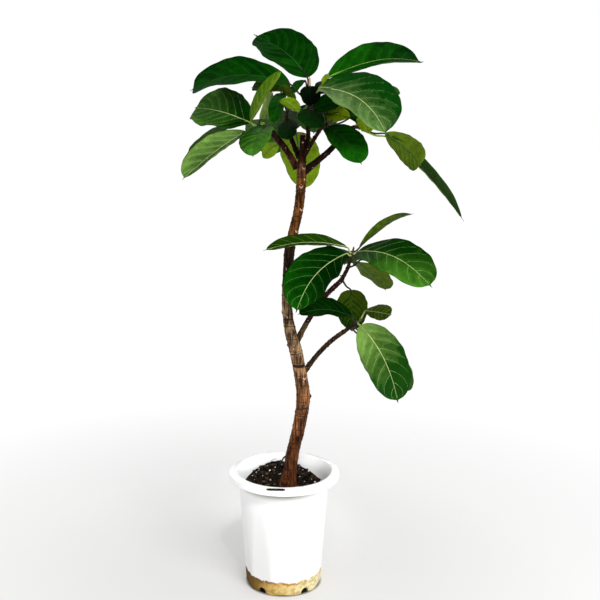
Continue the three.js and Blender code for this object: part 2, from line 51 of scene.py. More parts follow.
# Pot: a round cone whose foot is planed to ten flats
POT_HEIGHT = 0.263
RIM_INNER = 0.103
RIM_OUTER = 0.12
RIM_DROP = 0.005
BAND_HEIGHT = 0.01
BAND_WALL = 0.0025
NECK_OUTER = 0.099
POT_WALL = 0.0022
POT_FLATS = 10
FOOT_CORNER = 0.083
ARCH_TOP = 0.232
ARCH_BLEND = 0.0006
FLOOR_LOW = 0.012
FLOOR_HIGH = 0.0145
PAD_RADIUS = 0.028
RING_WALL = 0.006
NOTCH = dict(count=5, width=0.02, height=0.0118, first=1)
HOLE = dict(radius=0.005, circle=0.056)
# Painted shade on the neck under the rim's overhang, by height
NECK_PAINTED_SHADE = (
    (0.227, 1.0),
    (0.232, (0.84, 0.84, 0.82)),
    (0.236, (0.52, 0.52, 0.49)),
    (0.239, (0.24, 0.24, 0.22)),
)
# Stain on the foot: how far it runs right and left, how ragged it is, and the heights between which
# its rim and its edge lie; then its colours and those of its rim from left to right
STAIN = dict(reach=0.085, ragged=0.02, near_edge=(0.034, 0.0385), edge=(0.041, 0.0425))
STAIN_ZONE = (
    (0.0, (0.15, 0.085, 0.018)),
    (0.16, (0.24, 0.14, 0.032)),
    (0.3, (0.66, 0.43, 0.13)),
    (0.5, (0.78, 0.58, 0.23)),
    (0.75, (0.86, 0.74, 0.4)),
    (1.0, (0.9, 0.82, 0.54)),
)
STAIN_RIM = (
    (0.0, (0.08, 0.038, 0.01)),
    (0.2, (0.22, 0.1, 0.022)),
    (0.45, (0.42, 0.19, 0.04)),
    (0.75, (0.55, 0.28, 0.08)),
    (1.0, (0.84, 0.7, 0.38)),
)

SOIL_TOP = 0.2257
SOIL_FLAT = 0.036
SOIL_EDGE = 0.219
HEAP = dict(
    middle=(-0.008, 0.055),
    reach=(0.0, 0.02, 0.04, 0.062, 0.086),
    height=(0.252, 0.25, 0.243, 0.232, 0.219),
    blend=0.002,
)
GAP = 0.0003
# Loose bits on the soil: how many, least and greatest size, stretch, how far out, whether they lie
# flat, lift by size and in all, and the colours that they are dealt
CRUMBS = (
    (1150, 0.001, 0.0034, (1.25, 1.0, 0.8), 0.09, False, 0.4, 0.0, (0, 1)),
    (95, 0.0028, 0.0075, (1.3, 0.6, 0.28), 0.084, True, 0.0, 0.0016, (0, 2, 2, 3)),
    (105, 0.0011, 0.0027, (1, 1, 1), 0.09, False, 0.6, 0.0, (4,)),
)
CRUMB_COLORS = (
    ("crumb_black", (0.003, 0.0025, 0.002), 0.95, 0.05),
    ("crumb_brown", (0.014, 0.009, 0.006), 0.9, 0.08),
    ("chip_brown", (0.032, 0.017, 0.008), 0.85, 0.12),
    ("chip_tan", (0.07, 0.054, 0.03), 0.85, 0.15),
    ("perlite_white", (0.78, 0.77, 0.72), 0.85, 0.2),
)
FIBRE = dict(count=26, limit=0.08, length=(0.008, 0.022), radius=0.0004, slots=(0, 2))
# The splinter and the specks of soil on the rim
SPLINTER = dict(
    tilt=16,
    start=(-0.0375, -0.1105, 0.2612),
    end=(0.002, -0.1135, 0.2617),
    size=(0.003, 0.0016),
    section=((-1, -0.6), (0, -0.9), (1, -0.6), (1.05, 0.3), (0.4, 0.9), (-0.5, 0.85), (-1.0, 0.4)),
)
SPECKS = dict(count=34, reach=(0.105, 0.117), size=(0.0003, 0.0009))
LITTER_COLORS = (
    ("splinter_wood", (0.016, 0.011, 0.008), 0.8, 0.2),
    ("speck_grey", (0.1, 0.09, 0.08), 0.9, 0.1),
)

# Trunk: height, how far right and back its middle lies, and its radius
TRUNK_BENDS = (
    (0.226, 0.0065, 0.0, 0.02),
    (0.245, 0.01, 0.0, 0.016),
    (0.265, 0.0135, 0.001, 0.0145),
    (0.3, 0.018, 0.002, 0.0142),
    (0.34, 0.027, 0.003, 0.0142),
    (0.38, 0.035, 0.002, 0.0143),
    (0.425, 0.04, 0.0, 0.0148),
    (0.46, 0.037, -0.002, 0.0143),
    (0.5, 0.03, -0.003, 0.014),
    (0.54, 0.0215, -0.002, 0.0141),
    (0.575, 0.0115, 0.0, 0.0128),
    (0.61, 0.0055, 0.002, 0.0112),
    (0.655, 0.0035, 0.003, 0.011),
    (0.705, 0.0055, 0.004, 0.011),
    (0.75, 0.008, 0.003, 0.011),
    (0.79, 0.0155, 0.001, 0.0105),
    (0.835, 0.0255, 0.0, 0.0102),
    (0.885, 0.031, -0.001, 0.0101),
    (0.93, 0.032, 0.0, 0.0093),
    (0.96, 0.0335, 0.0, 0.0068),
    (0.997, 0.0335, 0.0, 0.0054),
)
FLARE = dict(lobes=5, depth=0.13, height=0.034, turn=0.6)
COLLAR = dict(swell=0.3, end=0.35)
# Knobs of the trunk: height, bearing and size
KNOBS = (
    (0.431, 0, 0.0055),
    (0.398, 200, 0.004),
    (0.545, 170, 0.0045),
    (0.618, 185, 0.004),
    (0.7, 20, 0.0035),
)
# Air roots at the trunk's foot: path and end radii
AIR_ROOTS = (
    (((0.008, -0.002, 0.296), (-0.001, -0.003, 0.291), (-0.008, -0.004, 0.277)), (0.0022, 0.0013)),
    (((0.009, -0.008, 0.288), (0.002, -0.012, 0.284), (-0.001, -0.013, 0.275)), (0.0018, 0.0011)),
)
# Pale V-shaped scars that show from the front: height and bearing
PALE_SCARS = ((0.925, 300), (0.887, 268), (0.839, 305), (0.793, 310), (0.641, 285), (0.475, 300))
# Height of the lowest pale dot, and the rings that show dark: height and half their width
LOWEST_DOT = 0.46
DARK_RINGS = (
    (0.265, 0.0012),
    (0.325, 0.0015),
    (0.355, 0.001),
    (0.389, 0.0012),
    (0.406, 0.0016),
    (0.503, 0.0034),
    (0.528, 0.001),
    (0.604, 0.0013),
    (0.873, 0.0012),
)
# Dark and light tones of the trunk's bark by height; the near-black bands from 0.69 to 0.76 and from 0.94
# to 0.985 are painted shade of the leaves above
TRUNK_BANDS_WITH_PAINTED_SHADE = (
    (0.235, (0.014, 0.004, 0.0015), (0.15, 0.046, 0.013)),
    (0.33, (0.02, 0.007, 0.003), (0.275, 0.095, 0.026)),
    (0.44, (0.03, 0.011, 0.004), (0.385, 0.172, 0.066)),
    (0.6, (0.05, 0.028, 0.013), (0.54, 0.37, 0.205)),
    (0.655, (0.04, 0.02, 0.009), (0.4, 0.25, 0.13)),
    # Painted shade: near-black bark where the side leaves shade the trunk
    (0.69, (0.01, 0.004, 0.0015), (0.08, 0.035, 0.016)),
    (0.76, (0.01, 0.004, 0.0015), (0.07, 0.035, 0.016)),
    (0.79, (0.018, 0.006, 0.0015), (0.22, 0.085, 0.018)),
    (0.9, (0.018, 0.006, 0.0015), (0.26, 0.09, 0.018)),
    (0.925, (0.045, 0.016, 0.007), (0.3, 0.14, 0.07)),
    # Painted shade: near-black leader under the crown
    (0.94, (0.006, 0.002, 0.001), (0.05, 0.014, 0.005)),
    (0.985, (0.006, 0.002, 0.001), (0.05, 0.014, 0.005)),
)
TRUNK_COLORS = (
    ("bark_groove", (0.022, 0.011, 0.007), 0.9, 0.15),
    ("bark_pale_scar", (0.52, 0.34, 0.25), 0.8, 0.2),
    ("bark_cut_end", (0.34, 0.17, 0.13), 0.8, 0.2),
    ("root_dark", (0.025, 0.014, 0.01), 0.85, 0.2),
)
BOUGH_COLORS = (
    ("bough_black", (0.003, 0.001, 0.0008), (0.06, 0.016, 0.009)),
    ("bough_brown", (0.03, 0.018, 0.007), (0.19, 0.115, 0.055)),
    ("bough_olive", (0.006, 0.003, 0.0015), (0.085, 0.046, 0.02)),
)
SCAR_COLORS = (
    ("bough_groove", (0.005, 0.003, 0.002), 0.9, 0.1),
    ("bough_pore", (0.36, 0.27, 0.2), 0.8, 0.2),
)
STEM_COLORS = (
    ("bud_green", (0.055, 0.07, 0.018), 0.6),
    ("bud_cream", (0.46, 0.31, 0.19), 0.6),
    ("scale_brown", (0.07, 0.036, 0.018), 0.8),
)

# Bark of the lower and upper part of the boughs that aren't near black, and where it changes
BOUGH_BARKS = {"side_upper": (1, 0, 0.045), "side_lower": (2, 2, 0.0)}

# Each shoot: its bough's path and end radii, the stem that goes on from the tip, and its fill
# leaves: how many, first bearing, spread, rise of stalks and of blades, and seed
SHOOTS = {
    "crown_left": dict(
        bough=((0.022, -0.002, 0.926), (-0.002, -0.008, 0.966), (-0.028, -0.012, 0.998)),
        radii=(0.0068, 0.006),
        stem=((-0.028, -0.012, 0.998), (-0.044, -0.016, 1.008), (-0.062, -0.022, 1.014)),
        fill=(2, 80, 110, 18, -30, 14),
    ),
    "crown_mid": dict(
        bough=((0.027, 0.008, 0.946), (0.011, 0.027, 0.98), (0.001, 0.038, 1.006)),
        radii=(0.0054, 0.0046),
        stem=((0.001, 0.038, 1.006), (0.0, 0.044, 1.021), (0.001, 0.048, 1.036)),
        fill=(2, 60, 50, 18, -15, 21),
    ),
    "crown_top": dict(
        bough=((0.04, 0.006, 0.966), (0.045, 0.004, 0.99), (0.042, -0.002, 1.022)),
        radii=(0.0048, 0.0042),
        stem=((0.042, -0.002, 1.022), (0.043, -0.006, 1.049), (0.047, -0.008, 1.079)),
        fill=(4, 20, 50, 18, 0, 21),
    ),
    "crown_inner": dict(
        bough=((0.036, -0.005, 0.95), (0.054, -0.012, 0.982), (0.068, -0.016, 1.005)),
        radii=(0.0046, 0.0038),
        stem=((0.068, -0.016, 1.005), (0.076, -0.022, 1.013), (0.084, -0.026, 1.019)),
        fill=(1, 96, 30, 18, -15, 28),
    ),
    "crown_right": dict(
        bough=((0.036, 0.002, 0.917), (0.07, 0.006, 0.944), (0.097, 0.013, 0.968), (0.129, 0.022, 1.004)),
        radii=(0.007, 0.005),
        stem=((0.129, 0.022, 1.004), (0.144, 0.026, 1.008), (0.16, 0.03, 1.002)),
        fill=(3, 70, 50, 18, 0, 21),
    ),
    "side_upper": dict(
        bough=((0.022, -0.001, 0.548), (0.05, -0.001, 0.603), (0.084, -0.002, 0.654), (0.117, 0.0, 0.687)),
        radii=(0.0058, 0.0052),
        stem=((0.117, 0.0, 0.687), (0.131, -0.003, 0.716), (0.139, -0.006, 0.748)),
        fill=(3, 10, 130, 18, -15, 21),
    ),
    "side_lower": dict(
        bough=(
            (0.036, -0.002, 0.478),
            (0.066, -0.005, 0.522),
            (0.096, -0.009, 0.556),
            (0.127, -0.012, 0.581),
        ),
        radii=(0.0054, 0.0048),
        stem=((0.127, -0.012, 0.581), (0.139, -0.016, 0.591), (0.152, -0.02, 0.602)),
        fill=(3, 20, 50, -40, -50, 21),
    ),
}

# Leaves that show from the front: place along the stem; stalk bearing, rise and length; blade
# bearing, rise, length and width; roll, bow, sweep, cup, share of the length at its widest and, where
# it is long, its drip tip; its tone, with how much lighter it is all over, towards its tip and towards
# its left, which paints sheen and shade as well as its own colour; and the tone of its stalk
LEAVES = {
    "crown_top": (
        (0.85, (103, 65, 0.04), (128, 24, 0.193, 0.115), (-22, 0.02, -0.07, 31, 0.53, 0.012),
         ("deep", -0.12, -0.1, 0), "dark"),
        (0.75, (171, 38, 0.049), (169, -5, 0.21, 0.106), (-29, 0.14, -0.01, 25, 0.64),
         ("deep", -0.05, 0, 0.1), "dark"),
        (0.95, (44, 30, 0.061), (28, 7, 0.231, 0.095), (27, 0.11, -0.01, 43, 0.62),
         ("deep", -0.03, -0.4, 0), "lime"),
        (0.8, (301, 27, 0.05), (311, -23, 0.201, 0.133), (19, 0.1, 0.09, 34, 0.5),
         ("grey", -0.04, 0, -0.6), "pale"),
        (0.6, (217, -30, 0.027), (239, 23, 0.075, 0.03), (27, 0.05, 0.02, 16, 0.56),
         ("lime", 0.2, 0.3, 0), "lime"),
        # Dark young leaf with its deep shade painted in
        (1, (271, 45, 0.02), (276, -67, 0.041, 0.046), (5, 0.07, -0.01, 44, 0.51),
         ("black", 0, 0, 0), "black"),
        (0.3, (285, 23, 0.026), (269, -19, 0.09, 0.056), (-13, 0.04, 0, 9, 0.62),
         ("dark", 0.2, 0, 0), "black"),
        (0.9, (121, 59, 0.032), (211, -43, 0.036, 0.033), (-6, 0.1, -0.01, 36, 0.55),
         ("deep", 0, 0, 0), "dark"),
        (0.5, (343, -9, 0.011), (3, 17, 0.062, 0.044), (48, 0.06, -0.01, 20, 0.52),
         ("deep", 0, 0, 0), "dark"),
        (1, (24, 25, 0.032), (39, 60, 0.028, 0.017), (4, 0.08, -0.05, 35, 0.54),
         ("lime", 0, 0, 0), "lime"),
    ),
    "crown_left": (
        (1, (130, 12, 0.018), (137, 7, 0.167, 0.107), (-44, 0.05, -0.02, 26, 0.58),
         ("fresh", -0.1, 0.6, 0.15), "pale"),
        (0.9, (222, -18, 0.03), (227, -25, 0.193, 0.092), (-1, 0.06, 0.04, 41, 0.5),
         ("light", 0.03, 0, -0.35), "pale"),
        (0.5, (276, 14, 0.028), (259, -22, 0.13, 0.066), (7, 0.06, -0.04, 18, 0.52),
         ("fresh", 0.12, 0.3, 0.35), "dark"),
        (0.95, (248, 21, 0.03), (308, 46, 0.146, 0.042), (76, 0.06, -0.03, 36, 0.49),
         ("lime", -0.1, 0, -0.4), "lime"),
        (0.6, (102, 9, 0.035), (75, 29, 0.117, 0.04), (82, -0.02, -0.03, 5, 0.53),
         ("pale", 0.3, 0, 0), "lime"),
        (0.05, (73, -35, 0.05), (118, -27, 0.08, 0.031), (59, 0.03, 0.05, 25, 0.6),
         ("lime", 0.7, 0, 0), "dark"),
    ),
    "crown_mid": (
        (1, (142, 68, 0.041), (264, -21, 0.146, 0.034), (7, 0.08, 0.02, 26, 0.59),
         ("deep", 0, 0, 0), "dark"),
        (0.6, (297, -12, 0.032), (264, -15, 0.104, 0.04), (0, 0.06, -0.06, 16, 0.61),
         ("dark", 0, 0, 0), "black"),
        (0.1, (343, -33, 0.023), (79, -49, 0.183, 0.086), (-3, 0.07, 0.01, 17, 0.52),
         ("lime", -0.3, 0.1, 0), "dark"),
        (1, (24, 49, 0.028), (225, 39, 0.056, 0.024), (25, 0.06, -0.01, 16, 0.57),
         ("olive", 0, 0, 0), "dark"),
        (1, (68, 63, 0.048), (162, 2, 0.088, 0.055), (-38, 0.08, -0.01, 31, 0.58),
         ("olive", -0.2, 0, 0), "dark"),
    ),
    "crown_inner": (
        (0.5, (295, -1, 0.011), (304, -28, 0.135, 0.067), (22, 0.09, 0.03, 24, 0.58),
         ("deep", 0.2, 0.3, -0.1), "dark"),
        (0.9, (46, 7, 0.068), (121, -1, 0.098, 0.045), (-45, 0.05, 0.01, 25, 0.58),
         ("lime", 0.5, 0, 0), "dark"),
    ),
    "crown_right": (
        (0.4, (310, 50, 0.027), (279, -20, 0.075, 0.034), (0, 0.05, 0, 20, 0.59),
         ("lime", 0.2, 0, 0), "pale"),
        (1, (354, -9, 0.045), (312, -29, 0.116, 0.059), (-101, 0.09, -0.02, 20, 0.66),
         ("olive", 0.1, 0, 0.25), "dark"),
        (0.9, (-2, -17, 0.054), (333, -43, 0.236, 0.066), (-37, 0.05, 0.03, 36, 0.45),
         ("dark", 0.4, -0.5, 0), "lime"),
    ),
    "side_upper": (
        (0.95, (208, 53, 0.019), (198, 1, 0.182, 0.051), (-19, 0.09, 0, 32, 0.5),
         ("olive", -0.7, 0.1, 0), "pale"),
        (0.9, (237, 17, 0.023), (233, -28, 0.196, 0.106), (-17, 0.07, -0.08, 40, 0.56),
         ("deep", -0.36, 0.35, -0.3), "pale"),
        (1, (33, 27, 0.021), (42, 18, 0.174, 0.032), (3, 0.11, -0.02, 28, 0.61),
         ("olive", 0, -0.1, 0), "dark"),
        (0.95, (336, 25, 0.014), (312, -11, 0.212, 0.1), (27, 0.12, 0.05, 10, 0.58),
         ("fresh", -0.15, 0.45, -0.45), "pale"),
        (0.7, (42, -10, 0.026), (56, -35, 0.148, 0.078), (0, 0.04, 0.02, 15, 0.58),
         ("olive", -0.25, 0, 0.2), "dark"),
        (0.1, (56, -39, 0.048), (276, -74, 0.089, 0.069), (2, 0.05, 0.01, 25, 0.44),
         ("olive", -0.3, -0.2, 0), "dark"),
    ),
    "side_lower": (
        (0.9, (206, 52, 0.018), (191, 5, 0.117, 0.06), (-29, 0.12, -0.04, 35, 0.57),
         ("dark", 0.05, 0, 0.15), "dark"),
        (1, (55, 30, 0.037), (302, 7, 0.093, 0.038), (52, 0.02, 0.01, 14, 0.72),
         ("olive", 0, 0, 0.2), "pale"),
        (1, (305, -21, 0.012), (303, -45, 0.189, 0.091), (35, 0.05, 0.07, 13, 0.54),
         ("light", -0.22, -0.85, -0.2), "pale"),
    ),
}

# Leaf shape
BODY_END = 0.965
TIP_FROM = 0.93
TIP_SLOPE = 1.2
STALK = dict(radius=0.0022, tip=0.0014, sag=0.08, overlap=0.14)
STEM_START = 0.97
STEM_TIP = 0.0026
# Length, radius and lean to the right of the bud at each stem's tip
BUDS = {"crown_top": (0.032, 0.0036, -0.15), "other": (0.015, 0.003, 0.0)}
FILL = dict(
    rise_spread=10, length=0.15, length_spread=0.045, width_share=0.52, cup=18,
    stalk=0.026, stalk_spread=0.018, roll_spread=24, first=0.9, run=0.6, bow=0.1, widest=0.58,
)
GOLDEN_ANGLE = 137.5
GOLDEN_SECTION = 0.618
LIMB_CLEARANCE = 0.014
SHOOT_REACH = 0.31
BLADE_STATIONS = (0.07, 0.27, 0.52, 0.76, 0.93)
LEAF_ROWS = 56
LEAF_COLUMNS = 29
LEAF_THICK = 0.0007
LATERALS = 6
FIRST_LATERAL = 0.05
LAST_LATERAL = 0.9
VEIN_STEP = (LAST_LATERAL - FIRST_LATERAL) / LATERALS
DRIP_TIP = (0.0, 0.003)
FILL_TONES = ("deep", "dark", "deep", "olive")

# Plain colours of each leaf tone (linear): upper face in shade and in light, under face, side veins,
# and how much the upper face shines
TONES = {
    # Painted shade: the black tone is a dark young leaf with its deep shade painted in, near black
    "black": (
        (0.0002, 0.001, 0.0003), (0.001, 0.006, 0.0008), (0.006, 0.012, 0.003), (0.002, 0.01, 0.002), 0.02,
    ),
    "dark": (
        (0.0003, 0.005, 0.0004), (0.003, 0.035, 0.001), (0.02, 0.055, 0.008), (0.01, 0.055, 0.008), 0.015,
    ),
    "deep": (
        (0.0003, 0.018, 0.0004), (0.006, 0.085, 0.0015), (0.04, 0.11, 0.015), (0.01, 0.11, 0.012), 0.015,
    ),
    "fresh": (
        (0.002, 0.028, 0.0006), (0.05, 0.18, 0.012), (0.07, 0.15, 0.02), (0.11, 0.26, 0.06), 0.03,
    ),
    # Painted sheen: the light tone is pale green with the sky's reflection painted into its lit end
    "light": (
        (0.005, 0.048, 0.001), (0.16, 0.3, 0.055), (0.09, 0.19, 0.03), (0.24, 0.4, 0.14), 0.09,
    ),
    # Painted sheen: the grey tone is the leaf's green with the sky's grey reflection painted in
    "grey": (
        (0.001, 0.042, 0.0008), (0.125, 0.23, 0.056), (0.07, 0.14, 0.03), (0.09, 0.21, 0.06), 0.08,
    ),
    "olive": (
        (0.01, 0.04, 0.0008), (0.1, 0.15, 0.008), (0.08, 0.135, 0.008), (0.115, 0.205, 0.015), 0.03,
    ),
    # Painted light: the lime tone paints light shining through backlit leaves onto their yellow-green
    "lime": (
        (0.05, 0.14, 0.0015), (0.26, 0.36, 0.006), (0.18, 0.3, 0.006), (0.25, 0.45, 0.02), 0.04,
    ),
    "pale": (
        (0.1, 0.22, 0.02), (0.36, 0.54, 0.11), (0.24, 0.36, 0.11), (0.4, 0.6, 0.17), 0.05,
    ),
}
# Painted shades of the upper face, from shaded to lit copies of the tone, that each tone is dealt out in
LEVELS = 6
STALK_TONES = {
    "black": (0.006, 0.005, 0.003),
    "dark": (0.016, 0.014, 0.006),
    "pale": (0.3, 0.38, 0.11),
    "lime": (0.16, 0.29, 0.03),
}
# The midrib follows the tone of its stalk
MIDRIB_TONES = {
    "black": (0.002, 0.01, 0.002),
    "dark": (0.024, 0.09, 0.02),
    "pale": (0.48, 0.58, 0.24),
    "lime": (0.2, 0.34, 0.06),
}

# Floor's colour, painted dark under the pot as its shadow, and its glow by distance from the plant
FLOOR_TONE_AND_PAINTED_SHADOW = ((0.0615, 0.02), (0.0645, (0.5, 0.495, 0.485)), (0.51, (0.36, 0.36, 0.355)), (1.0, 0.0))
FLOOR_GLOW = ((0.0615, 0.0), (0.0645, 0.34), (0.51, 0.62), (1.0, 1.0))
TURN = 2 * math.pi


# Meshes
def new_object(name, data):
    body = bpy.data.objects.new(name, data)
    bpy.context.collection.objects.link(body)
    return body


def new_mesh(name, points, faces):
    mesh = bpy.data.meshes.new(name)
    mesh.from_pydata(points, [], faces)
    return new_object(name, mesh)


def shade_smooth(mesh, sharp=None):
    mesh.polygons.foreach_set("use_smooth", [True] * len(mesh.polygons))
    if sharp is not None:
        mesh.set_sharp_from_angle(angle=math.radians(sharp))
    mesh.update()


def grid_faces(rows, columns, closed=False):
    """Quads of a grid of points, whose last column meets the first where it is closed."""
    last = columns if closed else columns - 1
    i, j = np.meshgrid(np.arange(rows - 1), np.arange(last), indexing="ij")
    a = i * columns + j
    b = i * columns + (j + 1) % columns
    return np.stack([a, b, b + columns, a + columns], -1).reshape(-1, 4)


class Pool:
    """Points and faces that are gathered for one piece."""

    def __init__(self):
        self.points = []
        self.faces = []
        self.slots = []
        self.count = 0

    def add(self, points, faces, slots=0):
        points = np.asarray(points, float).reshape(-1, 3)
        self.points.append(points)
        self.faces.extend((np.asarray(face) + self.count).tolist() for face in faces)
        self.slots.extend(np.broadcast_to(slots, len(faces)).tolist())
        self.count += len(points)

    def add_rings(self, rings, first, last, slots=0, end_slots=(0, 0)):
        """A closed skin over rings of points, with a fan to a point at each end."""
        rows, sides = rings.shape[:2]
        faces = list(grid_faces(rows, sides, closed=True))
        end = rows * sides
        for j in range(sides):
            k = (j + 1) % sides
            faces.append([end, k, j])
            faces.append([end + 1, end - sides + j, end - sides + k])
        slots = np.broadcast_to(slots, (rows - 1, sides)).reshape(-1)
        slots = np.concatenate([slots, np.tile(end_slots, sides)])
        self.add(np.concatenate([rings.reshape(-1, 3), [first, last]]), faces, slots)

    def piece(self, name, materials, slot, replaces=(), sharp=None):
        body = new_mesh(name, np.concatenate(self.points), self.faces)
        for material in materials:
            body.data.materials.append(material)
        body.data.polygons.foreach_set("material_index", self.slots)
        shade_smooth(body.data, sharp)
        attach(body, "root")
        if replaces:
            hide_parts(*replaces)
        return body


def unit(vectors):
    return vectors / np.maximum(np.linalg.norm(vectors, axis=-1, keepdims=True), 1e-12)


def around(radius, angles, height):
    """Points round the upright axis."""
    return np.stack(np.broadcast_arrays(radius * np.cos(angles), radius * np.sin(angles), height), -1)


def turns(count):
    return np.linspace(0, TURN, count, endpoint=False)


def along(points, shares):
    """Places on a smooth path through points, at an array of shares of it."""
    points = np.asarray(points, float)
    last = len(points) - 1
    place = np.clip(np.asarray(shares, float), 0, 1) * last
    k = np.minimum(np.floor(place).astype(int), last - 1)
    t = (place - k)[..., None]
    before, start, end = points[np.maximum(k - 1, 0)], points[k], points[k + 1]
    after = points[np.minimum(k + 2, last)]
    slope_in = (end - before) / 2
    slope_out = (after - start) / 2
    span = end - start
    curve = 3 * span - 2 * slope_in - slope_out + t * (slope_in + slope_out - 2 * span)
    return start + t * (slope_in + t * curve)


def noise_at(points, scale, seed):
    """Smooth noise from about -1 to 1 at each point, scale being cycles per metre on each axis."""
    shift = np.array([7.31, 3.17, 5.77]) * seed
    places = np.asarray(points, float).reshape(-1, 3) * scale + shift
    values = [noise.noise(Vector(place)) for place in places]
    return np.array(values).reshape(np.shape(points)[:-1])


def smooth(value):
    x = np.clip(value, 0, 1)
    return x * x * (3 - 2 * x)


def bump_at(distance, width):
    return np.exp(-((distance / width) ** 2))


def blend(first, second, share):
    return first + (second - first) * share


def limb_frame(path, shares):
    """Middles of a limb and the two directions across it, as the solids have them."""
    step = 0.02
    middles = along(path, shares)
    ahead = unit(along(path, shares + step) - along(path, shares - step))
    chord = unit(np.asarray(path[-1], float) - np.asarray(path[0], float))
    reference = np.array([0, 1, 0]) if abs(chord[1]) < 0.8 else np.array([1, 0, 0])
    side = unit(np.cross(reference, ahead))
    return middles, side, np.cross(ahead, side), ahead


def ring_points(middles, side, up, radii):
    """Rings of points round middles, whose radii are an array of rings by sides."""
    angles = turns(radii.shape[1])[None, :, None]
    across = np.cos(angles) * side[:, None] + np.sin(angles) * up[:, None]
    return middles[:, None] + across * radii[..., None]


def add_tube(pool, path, radius_at, sides, rings, slot=0, relief=None):
    """A closed limb with domed ends."""
    shares = np.linspace(0, 1, rings)
    middles, side, up, ahead = limb_frame(path, shares)
    radii = np.repeat(radius_at(shares)[:, None], sides, axis=1)
    if relief is not None:
        radii = radii + relief(shares[:, None], turns(sides)[None, :])
    first = middles[0] - ahead[0] * radii[0].mean() * 0.5
    last = middles[-1] + ahead[-1] * radii[-1].mean() * 0.5
    pool.add_rings(ring_points(middles, side, up, radii), first, last, slot, (slot, slot))


# Materials
class Nodes:
    """The nodes of one tree, and the inputs of its last one."""

    def __init__(self, tree, end):
        self.tree = tree
        self.end = tree.nodes[end].inputs

    def feed(self, socket, value):
        """Gives a socket a number, a colour, a vector or the output of another node."""
        if isinstance(value, (int, float)):
            socket.default_value = value
        elif isinstance(value, tuple):
            socket.default_value = (*value, 1)[: len(socket.default_value)]
        else:
            self.tree.links.new(value, socket)

    def set(self, inputs):
        for name, value in inputs.items():
            self.feed(self.end[name], value)

    def node(self, kind, inputs, **settings):
        node = self.tree.nodes.new(f"ShaderNode{kind}")
        for name, value in settings.items():
            setattr(node, name, value)
        for place, value in inputs.items():
            self.feed(node.inputs[place], value)
        return node

    def place(self, output="Object"):
        return self.node("TexCoord", {}).outputs[output]

    def axes(self, output="Object"):
        return self.node("SeparateXYZ", {"Vector": self.place(output)}).outputs

    def noise(self, scale, detail=4, stretch=(1, 1, 1), roughness=0.55):
        place = self.node("Mapping", {"Vector": self.place(), "Scale": stretch}).outputs["Vector"]
        grain = {"Vector": place, "Scale": scale, "Detail": detail, "Roughness": roughness}
        return self.node("TexNoise", grain).outputs["Fac"]

    def ramp(self, source, stops):
        """Colours, or greys given by one number, by places from 0 to 1."""
        ramp = self.node("ValToRGB", {"Fac": source})
        elements = ramp.color_ramp.elements
        while len(elements) < len(stops):
            elements.new(0.5)
        for element, (place, color) in zip(elements, stops):
            element.position = place
            element.color = (*color, 1) if isinstance(color, tuple) else (color, color, color, 1)
        return ramp.outputs["Color"]

    def span(self, value, low, high, to_low=0.0, to_high=1.0):
        limits = {"From Min": low, "From Max": high, "To Min": to_low, "To Max": to_high}
        return self.node("MapRange", {"Value": value, **limits}).outputs["Result"]

    def mix(self, factor, first, second, blend_type="MIX"):
        sockets = {0: factor, 6: first, 7: second}
        return self.node("Mix", sockets, data_type="RGBA", blend_type=blend_type).outputs[2]

    def times(self, first, second):
        return self.mix(1.0, first, second, "MULTIPLY")

    def bump(self, height, strength, distance):
        relief = {"Strength": strength, "Distance": distance, "Height": height}
        self.set({"Normal": self.node("Bump", relief).outputs["Normal"]})


def new_material(name, color, roughness, specular=0.5):
    material = bpy.data.materials.new(name)
    material.use_nodes = True
    nodes = Nodes(material.node_tree, "Principled BSDF")
    nodes.set({"Base Color": color, "Roughness": roughness, "Specular IOR Level": specular})
    return material, nodes


def scaled(color, factor):
    return tuple(min(channel * factor, 1.0) for channel in color)


def blended(first, second, share):
    return tuple(blend(a, b, share) for a, b in zip(first, second))


def leaf_materials(name, shade, light, roughness, specular):
    """Leathery upper faces of one tone, painted from shade to light, each nearly plain with a pebbled
    surface.
    """
    materials = []
    for level in range(LEVELS):
        color = blended(shade, light, (level / (LEVELS - 1)) ** 1.3)
        material, nodes = new_material(f"{name}_{level}", color, roughness, specular)
        stops = ((0.35, scaled(color, 0.85)), (0.65, scaled(color, 1.15)))
        nodes.set({"Base Color": nodes.ramp(nodes.noise(60), stops)})
        nodes.bump(nodes.noise(700, 3), 0.15, 0.0006)
        materials.append(material)
    return materials


def plain_material(name, color, roughness, specular=0.4, grain=300):
    """Even surface with slight mottling and a fine grain."""
    material, nodes = new_material(name, color, roughness, specular)
    stops = ((0.3, scaled(color, 0.75)), (0.7, scaled(color, 1.25)))
    nodes.set({"Base Color": nodes.ramp(nodes.noise(grain / 4), stops)})
    nodes.bump(nodes.noise(grain), 0.3, 0.0005)
    return material


def plain_materials(rows):
    return [plain_material(*row) for row in rows]


def bark_material(name, dark, light, bands=None):
    """Bark with streaks along the limb, patches and a cracked grain, and with bands by height."""
    material, nodes = new_material(name, light, 0.8, 0.10)
    if bands:
        height = nodes.axes()["Z"]
        dark = nodes.ramp(height, [(place, low) for place, low, _ in bands])
        light = nodes.ramp(height, [(place, high) for place, _, high in bands])
    streaks = nodes.ramp(nodes.noise(260, 6, (1, 1, 0.12), 0.6), ((0.40, 0), (0.62, 1)))
    patches = nodes.ramp(nodes.noise(34, 5, (1, 1, 0.7)), ((0.42, (0.48, 0.46, 0.44)), (0.60, 1)))
    nodes.set({"Base Color": nodes.times(nodes.mix(streaks, dark, light), patches)})
    nodes.bump(nodes.noise(420, 6, (1, 1, 0.35), 0.65), 0.65, 0.0014)
    return material


